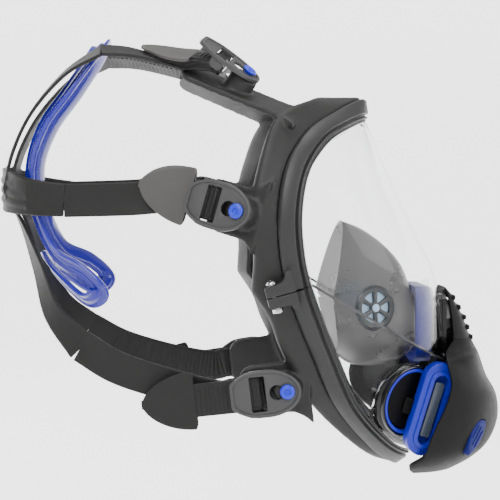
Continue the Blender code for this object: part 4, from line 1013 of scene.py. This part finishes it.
def tail_path(kind):
    """Centre line of the strap end: round the bar, back over itself, and out as the leaf.

    Each sample is (distance, height, half-width, rib).
    """
    run = RUN_END - BAR_A
    half = STRAP_WIDTH / 2
    path = []
    for i in range(25):
        angle = math.radians(270 - 180 * i / 24)
        path.append((STRAP_BEND * math.cos(angle), STRAP_BEND * math.sin(angle), half))
    reach = run + 0.8
    count = 24
    path += [(reach * i / count, STRAP_BEND, half) for i in range(1, count + 1)]
    bend = math.radians(LEAF_BEND[kind] / 2)
    a, n = reach, STRAP_BEND
    if TAIL_RUN[kind]:
        count = 36
        for i in range(1, count + 1):
            share = i / count
            path.append((a + (TAIL_RUN[kind] + 1.6) * share * math.cos(bend),
                         n + (TAIL_RUN[kind] + 1.6) * share * math.sin(bend), half))
        a, n = path[-1][:2]
    steps = 40
    shoulder = len(path)
    for i in range(steps + 1):
        share = i / steps
        path.append((a + 0.2, n, leaf_half_width(share)))
        turn = math.radians(LEAF_BEND[kind] * min(2 * share, 1.0) - 3.5)
        a += LEAF_LENGTH / steps * math.cos(turn)
        n += LEAF_LENGTH / steps * math.sin(turn)
    return path, shoulder


def build_tail(name, kind, axes, surfaces):
    """Strap end round the bar, and the leaf-shaped pull at its end."""
    path, shoulder = tail_path(kind)
    points = []
    for a, n, half in path:
        x, z = in_buckle(kind, a, n)
        points.append(Vector((x, 0.0, z)))
    frames, sections = [], []
    travelled = 0.0
    for i, point in enumerate(points):
        ahead, behind = points[min(i + 1, len(points) - 1)], points[max(i - 1, 0)]
        along = (ahead - behind).normalized()
        across = Vector((0.0, 1.0, 0.0))
        frames.append((point, across, across.cross(along)))
        if i:
            travelled += (point - points[i - 1]).length
        half = path[i][2]
        if i < shoulder:
            rib = RIB_HEIGHT if travelled % RIB_PITCH < RIB_PITCH * 0.5 else 0.0
            sections.append(soft_band(2 * half, STRAP_THICKNESS, 0.5, rib))
        else:
            sections.append(soft_band(2 * max(half, 2.6), STRAP_THICKNESS + 0.3, 0.9))
    pull = surfaces["strap" if kind == "neck" else "leaf"]
    parts = (("strap_end_", slice(0, shoulder + 1), surfaces["tail"]),
             ("strap_pull_", slice(shoulder, None), pull))
    for label, span, surface in parts:
        piece = sweep(label + name, frames[span], sections[span], surface)
        piece.matrix_world = axes
        bevel(piece, 0.2, 2, 50)
        finish_piece(piece, 40, "buckle_" + name, "tail_rubber", "strap_tail_" + name)


def build_strap(kind, label, side, axes, surfaces):
    """Standing strap, from the yoke's seam to the underside of the buckle's bar."""
    name = kind + "_" + label
    turn = axes.to_3x3()

    def world(a, n):
        x, z = in_buckle(kind, a, n)
        return axes @ (Vector((x, 0.0, z)) * MM) / MM

    pitch = math.radians(-STRAP_PITCH[kind])
    normal = turn @ Vector((-math.sin(pitch), 0.0, math.cos(pitch)))
    run = RUN_END - BAR_A
    straight = [world(run * i / 8, -STRAP_BEND) for i in range(9)]
    leaving = world(run + 10.2, -STRAP_BEND)
    seam = mirrored(SEAMS[kind], side)
    waypoints = [mirrored(point, side) for point in reversed(STRAP_WAYPOINTS[kind])]
    seam += (seam - waypoints[-1]).normalized() * SEAM_OVERLAP
    path = [straight[-1], leaving, *waypoints, seam]
    seam_normal = mirrored(SEAM_NORMALS[kind], side)
    count = len(path) - 1
    rows = [(*point, *normal.lerp(seam_normal, i / count), STRAP_WIDTH) for i, point in enumerate(path)]
    curve = smooth(rows, 60)
    # Even spacing, so that the ribs keep their pitch.
    even, spacing, carried = [], RIB_PITCH / 4, 0.0
    for before, after in zip(curve, curve[1:]):
        span = (Vector(after[:3]) - Vector(before[:3])).length
        while carried < span:
            share = carried / span
            even.append(tuple(a + (b - a) * share for a, b in zip(before, after)))
            carried += spacing
        carried -= span
    even.append(curve[-1])
    samples = [(point, normal, STRAP_WIDTH) for point in straight[:-1]]
    samples += [(Vector(row[:3]), Vector(row[3:6]), STRAP_WIDTH) for row in even]
    frames, widths = band_frames(samples)
    sections = []
    for i, width in enumerate(widths):
        k = i - len(straight) + 1
        ribbed = 0 <= k * spacing < RIBBED_LENGTH
        rib = RIB_HEIGHT if ribbed and k % 4 < 2 else 0.0
        sections.append(soft_band(width, STRAP_THICKNESS, 0.5, rib, 0.12))
    strap = sweep("strap_band_" + name, frames, sections, surfaces["strap"])
    soft_shade(strap, 40)
    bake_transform(strap)
    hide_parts("strap_" + name)


def build_anchorages(surfaces, joints):
    shared = buckle_mesh(surfaces["buckle"])
    for kind in KINDS:
        for label, side in SIDES:
            name = kind + "_" + label
            axes = anchor(kind, side, joints)
            buckle = add_object("buckle_moulding_" + name, shared, None, axes)
            finish_piece(buckle, None, "buckle_" + name, "buckle_plastic", "buckle_" + name)
            build_stud(name, axes, surfaces["stud"])
            build_tail(name, kind, axes, surfaces)
            build_strap(kind, label, side, axes, surfaces)


# ---------------------------------------------------------------- yoke and cradle

def outward(point):
    """Direction away from the head at the same height."""
    return (Vector(point) - Vector((HEAD_CENTRE.x, 0.0, point[2]))).normalized()


def rubber_band(name, points, normals, widths, bead):
    """Band through the points, facing along the normals, with a raised bead on its edges."""
    rows = [(*point, *normal, width) for point, normal, width in zip(points, normals, widths)]
    samples = [(Vector(row[:3]), Vector(row[3:6]), row[6]) for row in smooth(rows, YOKE_STEPS)]
    frames, spans = band_frames(samples)
    sections = [soft_band(width, YOKE_THICKNESS, 0.6, 0.0, bead) for width in spans]
    return sweep(name, frames, sections, None)


def build_yoke(surfaces):
    """Back band with three raised ridges, and the rails that carry the top and neck straps."""
    left = [mirrored(point, 1) for point in BACK_BAND]
    points = [Vector(point) for point in BACK_BAND] + left[-2::-1]
    widths = list(BACK_BAND_WIDTHS) + list(BACK_BAND_WIDTHS[-2::-1])
    solids = [rubber_band("back_band", points, [outward(p) for p in points], widths, 0.2)]
    for rise in (-5.5, 0.0, 5.5):
        ridge = [p + outward(p) * 1.0 + Vector((0, 0, rise)) for p in points[1:-1]]
        solids.append(rubber_band("ridge", ridge, [outward(p) for p in points[1:-1]],
                                  [1.6] * len(ridge), 0.0))
    for _, side in SIDES:
        upper = [mirrored(point, side) for point in UPPER_RAIL]
        normals = [mirrored(SEAM_NORMALS["top"], side), (-0.6, 0.2 * side, 0.75),
                   (-0.85, 0.1 * side, 0.5), (-0.97, 0.1 * side, 0.2), (-1.0, 0.1 * side, 0.0)]
        solids.append(rubber_band("upper_rail", upper, normals,
                                  (STRAP_WIDTH, *[RAIL_WIDTH] * 4), 0.15))
        lower = [mirrored(point, side) for point in LOWER_RAIL]
        normals = [(-1.0, 0.1 * side, 0.0), (-0.95, 0.2 * side, -0.2), (-0.85, 0.5 * side, -0.2),
                   (-0.6, 0.8 * side, -0.1), mirrored(SEAM_NORMALS["neck"], side)]
        solids.append(rubber_band("lower_rail", lower, normals,
                                  (*[RAIL_WIDTH] * 4, STRAP_WIDTH), 0.15))
    for solid in solids:
        evaluated(solid)
    solids[0].data.materials.append(surfaces["strap"])
    yoke = fused("harness_yoke_moulding", solids, 0.8, 3)
    finish_piece(yoke, None, "root", "strap_rubber", "harness_yoke")


def cradle_section():
    """Section of the cradle band: a gutter with flanged edges and a rib along its middle."""
    u = CRADLE_WIDTH / 2
    t = CRADLE_THICKNESS / 2
    top = [(-u, t + 1.1), (-u + 0.9, t + 1.3), (-u + 1.7, t + 0.4), (-u + 2.6, t - 0.1), (-1.5, t - 0.1),
           (-0.9, t + 0.5), (0.0, t + 0.8), (0.9, t + 0.5), (1.5, t - 0.1),
           (u - 2.6, t - 0.1), (u - 1.7, t + 0.4), (u - 0.9, t + 1.3), (u, t + 1.1)]
    return top + [(u + 0.3, t + 0.2), (u, -t), (0.0, -t - 0.2), (-u, -t), (-u - 0.3, t + 0.2)]


def build_cradle(surfaces):
    ring = smooth(CRADLE_RING, 10, before=mirrored(CRADLE_RING[1], 1), after=mirrored(CRADLE_RING[-2], 1))
    ring = [Vector(point) for point in ring]
    ring += [mirrored(point, 1) for point in ring[-2:0:-1]]
    samples = [(point, (point - HEAD_CENTRE).normalized(), CRADLE_WIDTH) for point in ring]
    frames = band_frames(samples, closed=True)[0]
    sections = [cradle_section()] * len(frames)
    cradle = sweep("crown_cradle_moulding", frames, sections, surfaces["cradle"], closed=True)
    finer = cradle.modifiers.new("finer", "SUBSURF")
    finer.levels = 1
    finer.render_levels = 1
    finish_piece(cradle, 60, "root", "cradle_plastic", "crown_cradle")


# ---------------------------------------------------------------- ports, receptacles and cover

def build_ports(surfaces):
    """Glossy port drum with stepped rings, the blue gasket, and the disc behind the receptacle."""
    drum_profile = (
        (0, -2.6), (17.3, -2.6), (17.3, -3.4), (20.4, -3.4), (20.4, -0.6), (20.7, -0.1), (21.3, 0.0),
        (21.8, -0.3), (22.0, -0.9), (22.0, -2.2), (21.4, -2.8), (21.4, -3.6), (22.4, -4.2), (22.9, -5.0),
        (22.9, -7.4), (22.4, -8.4), (21.2, -9.0), (18.5, -9.4), (18.5, -17.0), (16.5, -17.0), (16.5, -6.0),
        (0, -6.0))
    gasket_profile = ((20.2, -0.9), (20.1, -0.5), (19.6, -0.2), (18.9, -0.2), (18.3, -0.5), (18.0, -1.0),
                      (17.9, -3.2), (20.2, -3.2))
    disc_profile = ((0, -1.3), (16.4, -1.3), (17.2, -1.6), (17.4, -2.3), (17.2, -2.7), (0, -2.7))
    for label, side in SIDES:
        axes = port_axes(side)
        drum = turned("port_drum_moulding_" + label, drum_profile, surfaces["black"], axes, 96)
        finish_piece(drum, 28, "root", "port_plastic", "port_drum_" + label)
        gasket = turned("port_gasket_ring_" + label, gasket_profile, surfaces["gasket"], axes, 96)
        finish_piece(gasket, 50, "root", "gasket_silicone", "port_gasket_" + label)
        disc = turned("port_disc_" + label, disc_profile, surfaces["disc"], axes, 96)
        finish_piece(disc, 30, "root", "port_plastic")


def build_receptacles(surfaces):
    """Slotted receptacles with a raised lip, key notches and small teeth at the lower end."""
    for label, side in SIDES:
        axes = placement(mirrored(RECEPTACLE_CENTRE, side), mirrored(RECEPTACLE_NORMAL, side),
                         mirrored(RECEPTACLE_LONG, side))
        outline = stadium(RECEPTACLE_HALF_LENGTH, RECEPTACLE_HALF_WIDTH)
        body = plate("receptacle_moulding_" + label, [outline], -RECEPTACLE_DEPTH, -1.0,
                     surfaces["bright_blue"], axes)
        bevel(body, 0.6, 3)
        evaluated(body)
        lip = plate("lip", [stadium(SLOT_HALF_LENGTH + 2.4, SLOT_HALF_WIDTH + 2.4)], -1.4, 0.2, None, axes)
        bevel(lip, 0.5, 3)
        combine(body, evaluated(lip), "UNION")
        pocket = plate("pocket", [stadium(SLOT_HALF_LENGTH, SLOT_HALF_WIDTH)], -SLOT_DEPTH, 3.0, None, axes)
        combine(body, pocket, "DIFFERENCE")
        for x, reach in ((9.0, 3.2), (-7.5, 2.4)):
            y = -side * (SLOT_HALF_WIDTH + 1.2)
            notch = plate("notch", [rounded_rectangle((x - reach, y - 1.6), (x + reach, y + 1.6), 0.5, 3)],
                          -0.8, 2.0, None, axes)
            combine(body, notch, "DIFFERENCE")
        for i in range(TOOTH_GAPS):
            x = RECEPTACLE_HALF_LENGTH - 3.6
            y = -side * (0.6 + i * TOOTH_PITCH)
            tooth = plate("gap", [rounded_rectangle((x, y - 0.45), (x + 6.0, y + 0.45), 0.2, 2)],
                          -3.4, 2.0, None, axes)
            combine(body, tooth, "DIFFERENCE")
        finish_piece(body, 32, "root", "receptacle_plastic", "receptacle_" + label)
        build_flap(label, side, axes, surfaces["flap"])
        build_stem(label, axes, side, surfaces["disc"])


def build_flap(label, side, axes, surface):
    """Translucent film flap on the slot's rear edge, with a rounded free edge."""
    hinge_y = side * (SLOT_HALF_WIDTH - FLAP_INSET)
    width = 2 * SLOT_HALF_WIDTH - 2 * FLAP_INSET
    reach = SLOT_HALF_LENGTH - SLOT_HALF_WIDTH
    outline = rounded_rectangle((-reach, 0.0), (reach, width), 1.6, 5)
    outline = [(x, -side * y) for x, y in outline]
    hinge = Matrix.Translation((0.0, hinge_y * MM, -1.8 * MM))
    flap = plate("receptacle_flap_film_" + label, [outline], -0.6, 0.6, surface, axes @ hinge)
    bevel(flap, 0.3, 3)
    finish_piece(flap, 35, "receptacle_flap_" + label, "flap_film", "receptacle_flap_" + label)


def build_stem(label, axes, side, surface):
    """Dark block that joins the port's disc to the back of the receptacle."""
    y0, y1 = sorted((side * 3.0, side * (RECEPTACLE_HALF_WIDTH + 5.5)))
    stem = plate("receptacle_stem_" + label, [rounded_rectangle((-3.0, y0), (7.0, y1), 1.2, 4)],
                 -RECEPTACLE_DEPTH - 5.0, -RECEPTACLE_DEPTH + 1.5, surface, axes)
    bevel(stem, 0.5, 3)
    finish_piece(stem, 35, "root", "port_plastic")


def cover_row(level):
    """Section of the cover at one level, from its right edge round the front to its left."""
    z, rear, half, front = level
    points = []
    for i in range(COVER_COLUMNS + 1):
        angle = math.pi * (i / COVER_COLUMNS - 0.5)
        power = 2 / COVER_ROUNDNESS
        across = math.copysign(abs(math.sin(angle)) ** power, angle) * half
        reach = max(math.cos(angle), 0.0) ** power
        points.append((rear + (front - rear) * reach, across, z))
    return points


def cover_front(z):
    """How far forward the cover's middle line reaches at a height."""
    for (z0, _, _, x0), (z1, _, _, x1) in zip(COVER_LEVELS, COVER_LEVELS[1:]):
        if z0 >= z >= z1:
            return x0 + (x1 - x0) * (z0 - z) / (z0 - z1) + COVER_THICKNESS / 2
    return COVER_LEVELS[0][3]


def button_axes(side):
    return placement(mirrored(BUTTON_CENTRE, side), mirrored(BUTTON_NORMAL, side), (-0.2, 0, 1))


def button_outline(side, grow):
    """Soft-cornered outline, grown by a margin and mirrored for the left."""
    rows = smooth([*BUTTON_OUTLINE, BUTTON_OUTLINE[0]], 8,
                  before=BUTTON_OUTLINE[-1], after=BUTTON_OUTLINE[1])[:-1]
    points = []
    for x, y in rows:
        scale = 1 + grow / math.hypot(x, y)
        points.append((x * scale, -side * y * scale))
    return points if side < 0 else points[::-1]


def build_cover(surfaces):
    """Front cover with its grille, and the release buttons in its flanks."""
    levels = []
    for low, high in zip(COVER_LEVELS[:3], COVER_LEVELS[1:4]):
        levels += smooth([low, high], 4)[:-1]
    levels += smooth(COVER_LEVELS[3:], 5)
    rows = [cover_row(level) for level in levels]
    cover = thicken(grid_object("front_cover_shell", rows, surfaces["cover"]), COVER_THICKNESS, 1.0)
    evaluated(cover)
    for i in range(GRILLE_SLOTS):
        z = GRILLE_TOP_Z - i * GRILLE_PITCH
        outline = rounded_rectangle((z - GRILLE_SLOT_HEIGHT / 2, -GRILLE_HALF_WIDTH),
                                    (z + GRILLE_SLOT_HEIGHT / 2, GRILLE_HALF_WIDTH), 1.2, 5)
        combine(cover, plate("slot", [outline], *GRILLE_CUT_SPAN, None, neck_axes()), "DIFFERENCE")
    for _, side in SIDES:
        axes = button_axes(side)
        hole = plate("hole", [button_outline(side, 0.5)], -12, 8, None, axes)
        combine(cover, hole, "DIFFERENCE")
    for i in range(GRILLE_SLOTS + 1):
        z = GRILLE_TOP_Z + GRILLE_PITCH / 2 - i * GRILLE_PITCH
        low, high = (cover_front(z) + depth for depth in GRILLE_BAR_DEPTHS)
        outline = rounded_rectangle((z - GRILLE_BAR_HALF_HEIGHT, -GRILLE_HALF_WIDTH - 2),
                                    (z + GRILLE_BAR_HALF_HEIGHT, GRILLE_HALF_WIDTH + 2), 1.2)
        bar = plate("bar", [outline], low, high, None, neck_axes())
        bevel(bar, 0.4, 2)
        combine(cover, evaluated(bar), "UNION")
    bevel(cover, 0.5, 3, 50)
    finish_piece(cover, 30, "root", "cover_plastic", "front_cover")
    for label, side in SIDES:
        axes = button_axes(side)
        button = plate("release_button_cap_" + label, [button_outline(side, 0.0)], -BUTTON_DEPTH,
                       BUTTON_PROUD, surfaces["button"], axes)
        bevel(button, 0.9, 4)
        evaluated(button)
        for x, y, reach in BUTTON_RIBS:
            turn = Matrix.Rotation(math.radians(side * BUTTON_SLANT), 4, "Z")
            place = Matrix.Translation((x * MM, -side * y * MM, 0.0))
            rib = plate("rib", [stadium(reach, 0.55, 8)], BUTTON_PROUD - 1.0, BUTTON_PROUD + 0.45, None,
                        axes @ turn @ place)
            bevel(rib, 0.3, 3)
            combine(button, evaluated(rib), "UNION")
        flange = plate("flange", [button_outline(side, 2.0)], -BUTTON_DEPTH - 1.0, -BUTTON_DEPTH + 0.6,
                       None, axes)
        combine(button, flange, "UNION")
        finish_piece(button, 35, "release_button_" + label, "button_plastic", "release_button_" + label)
        build_spring(label, axes, surfaces["steel"])


def build_spring(label, axes, steel):
    curve = bpy.data.curves.new("button_spring_wire_" + label, "CURVE")
    curve.dimensions = "3D"
    curve.bevel_depth = SPRING_WIRE / 2 * MM
    curve.bevel_resolution = 3
    curve.use_fill_caps = True
    spline = curve.splines.new("POLY")
    sides = 24
    count = SPRING_TURNS * sides
    spline.points.add(count)
    for i, point in enumerate(spline.points):
        angle = 2 * math.pi * i / sides
        height = SPRING_TOP - SPRING_LENGTH * i / count
        point.co = (SPRING_RADIUS * math.cos(angle) * MM, SPRING_RADIUS * math.sin(angle) * MM,
                    height * MM, 1.0)
    spring = add_object("button_spring_coil_" + label, curve_mesh(curve), steel, axes)
    spring.data.shade_smooth()
    finish_piece(spring, None, "root", "screw_steel", "button_spring_" + label)


# ---------------------------------------------------------------- nose cup, collar and adapter

def nose_cup_ring(ring, columns=64):
    """Closed ring of the nose cup, through its top, side and bottom points."""
    top_x, top_z, side_x, half, side_z, low_x, low_z = ring
    points = []
    for i in range(columns):
        angle = 2 * math.pi * i / columns
        lift = math.cos(angle)
        end_x, end_z = (top_x, top_z) if lift > 0 else (low_x, low_z)
        share = abs(lift) ** 1.25 if lift > 0 else abs(lift)
        points.append((side_x + (end_x - side_x) * share, half * math.sin(angle),
                       side_z + (end_z - side_z) * share))
    return points


def valve_plate_outlines():
    """Round seat with a ring of sector windows between its spokes."""
    outlines = [circle(VALVE_RADIUS)]
    sector = 360 / VALVE_SPOKES
    for i in range(VALVE_SPOKES):
        start = i * sector + 8
        end = (i + 1) * sector - 8
        outlines.append(arc(0, 0, VALVE_RADIUS - 2.2, start, end, 12)
                        + arc(0, 0, 3.6, end - 8, start + 8, 6))
    return outlines


def build_nose_cup(surfaces):
    rings = smooth(NOSE_CUP_RINGS, 8)
    rows = [nose_cup_ring(ring) for ring in rings]
    cup = grid_object("nose_cup_skin", rows, surfaces["nose_cup"], wrap_columns=True)
    thicken(cup, NOSE_CUP_THICKNESS)
    evaluated(cup)
    for label, side in SIDES:
        axes = placement(mirrored(VALVE_CENTRE, side), mirrored(VALVE_NORMAL, side), (0, 0, 1))
        hole = plate("valve_hole", [circle(VALVE_RADIUS + 0.4)], -9, 6, None, axes)
        combine(cup, hole, "DIFFERENCE")
        seat = plate("valve_seat_" + label, valve_plate_outlines(), -1.0, 1.0, surfaces["valve_seat"], axes)
        bevel(seat, 0.25, 2)
        evaluated(seat)
        ring = turned("ring", [(VALVE_RADIUS + out, height) for out, height in VALVE_RING], None, axes)
        seat = joined("valve_seat_moulding_" + label, [seat, ring])
        finish_piece(seat, 35, "root", "valve_seat_plastic", "inhalation_valve_" + label)
        film_profile = ((0, 1.7), (1.6, 1.6), (2.4, 1.2), (2.5, -1.2), (VALVE_RADIUS - 1.2, -1.25),
                        (VALVE_RADIUS - 1.2, -2.1), (0, -2.1))
        film = turned("valve_film_disc_" + label, film_profile, surfaces["valve_film"], axes, 64)
        finish_piece(film, 40, "root", "valve_film", "inhalation_flap_" + label)
    finish_piece(cup, 40, "root", "nose_cup_silicone", "nose_cup")
    outer = rounded_rectangle((COLLAR_BOTTOM_Z, -COLLAR_HALF_WIDTH), (COLLAR_TOP_Z, COLLAR_HALF_WIDTH), 8, 12)
    inner = rounded_rectangle((COLLAR_BOTTOM_Z + 5, -COLLAR_HALF_WIDTH + 5),
                              (COLLAR_TOP_Z - 5, COLLAR_HALF_WIDTH - 5), 5, 12)
    collar = plate("nose_cup_collar_ring", [outer, inner], COLLAR_BACK_X, NECK_BACK_X - 0.3,
                   surfaces["collar"], neck_axes())
    bevel(collar, 0.7, 4)
    finish_piece(collar, 35, "root", "collar_plastic", "nose_cup_collar")


def finish_cad_nodes(nodes, surfaces):
    """Materials and fine shading for the CAD nodes whose own shape is shown."""
    for name, surface, slot in CAD_LOOKS:
        mesh = nodes[name].data
        mesh.materials.clear()
        mesh.materials.append(surfaces[surface])
        mesh.shade_smooth()
        mesh.set_sharp_from_angle(angle=math.radians(32))


# ---------------------------------------------------------------- stage, lights and camera

def build_stage(floor_z):
    """Pale floor that sweeps up into a backdrop all round, brightest beyond the object."""
    surface = bpy.data.materials.new("stage_paper")
    surface.use_nodes = True
    shader = surface.node_tree.nodes["Principled BSDF"]
    shader.inputs["Base Color"].default_value = (0.85, 0.85, 0.85, 1.0)
    shader.inputs["Roughness"].default_value = 0.9
    shader.inputs["Emission Color"].default_value = (1.0, 1.0, 1.0, 1.0)
    tree = surface.node_tree
    place = node(tree, "ShaderNodeTexCoord")
    axes = node(tree, "ShaderNodeSeparateXYZ")
    glow = node(tree, "ShaderNodeMapRange")
    for socket, value in zip(("From Min", "From Max", "To Min", "To Max"), (*GLOW_SPAN, *GLOW_LEVELS)):
        glow.inputs[socket].default_value = value
    tree.links.new(place.outputs["Object"], axes.inputs["Vector"])
    tree.links.new(axes.outputs["Y"], glow.inputs["Value"])
    tree.links.new(glow.outputs["Result"], shader.inputs["Emission Strength"])
    sweep_up = arc(FLOOR_RADIUS, floor_z + FLOOR_SWEEP, FLOOR_SWEEP, -90, 0, 12)
    profile = [(r / MM, height / MM) for r, height in [(0.0, floor_z), *sweep_up]]
    floor = evaluated(turned("floor", profile, surface, None, 64))
    floor.data.shade_smooth()


def build_lights():
    world = bpy.data.worlds.new("studio")
    bpy.context.scene.world = world
    world.use_nodes = True
    background = world.node_tree.nodes["Background"]
    background.inputs["Color"].default_value = (1.0, 1.0, 1.0, 1.0)
    background.inputs["Strength"].default_value = WORLD_STRENGTH
    for name, location, size, power in LIGHTS:
        data = bpy.data.lights.new(name, "AREA")
        data.energy = power
        data.size = size
        obj = bpy.data.objects.new(name, data)
        bpy.context.scene.collection.objects.link(obj)
        obj.location = location
        obj.rotation_euler = (LIGHT_AIM - Vector(location)).to_track_quat("-Z", "Y").to_euler()


def build_camera():
    data = bpy.data.cameras.new("camera")
    data.lens = CAMERA_LENS
    data.sensor_width = 36.0
    data.clip_start = 0.01
    obj = bpy.data.objects.new("camera", data)
    bpy.context.scene.collection.objects.link(obj)
    azimuth, elevation = math.radians(CAMERA_AZIMUTH), math.radians(CAMERA_ELEVATION)
    back = Vector((math.sin(azimuth) * math.cos(elevation), -math.cos(azimuth) * math.cos(elevation),
                   math.sin(elevation)))
    obj.location = CAMERA_TARGET + back * CAMERA_DISTANCE
    obj.rotation_euler = (-back).to_track_quat("-Z", "Y").to_euler()
    bpy.context.scene.camera = obj


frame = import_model()
cad_low, cad_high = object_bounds()
joints = {joint["name"]: joint for joint in frame["joints"]}
surfaces = make_materials()

build_camera()
build_lights()
build_stage(cad_low.z - FLOOR_DROP)
build_frame(surfaces)
build_lens(surfaces)
build_seal(surfaces, joints)
build_anchorages(surfaces, joints)
build_yoke(surfaces)
build_cradle(surfaces)
build_ports(surfaces)
build_receptacles(surfaces)
build_cover(surfaces)
build_nose_cup(surfaces)
finish_cad_nodes(frame["nodes"], surfaces)
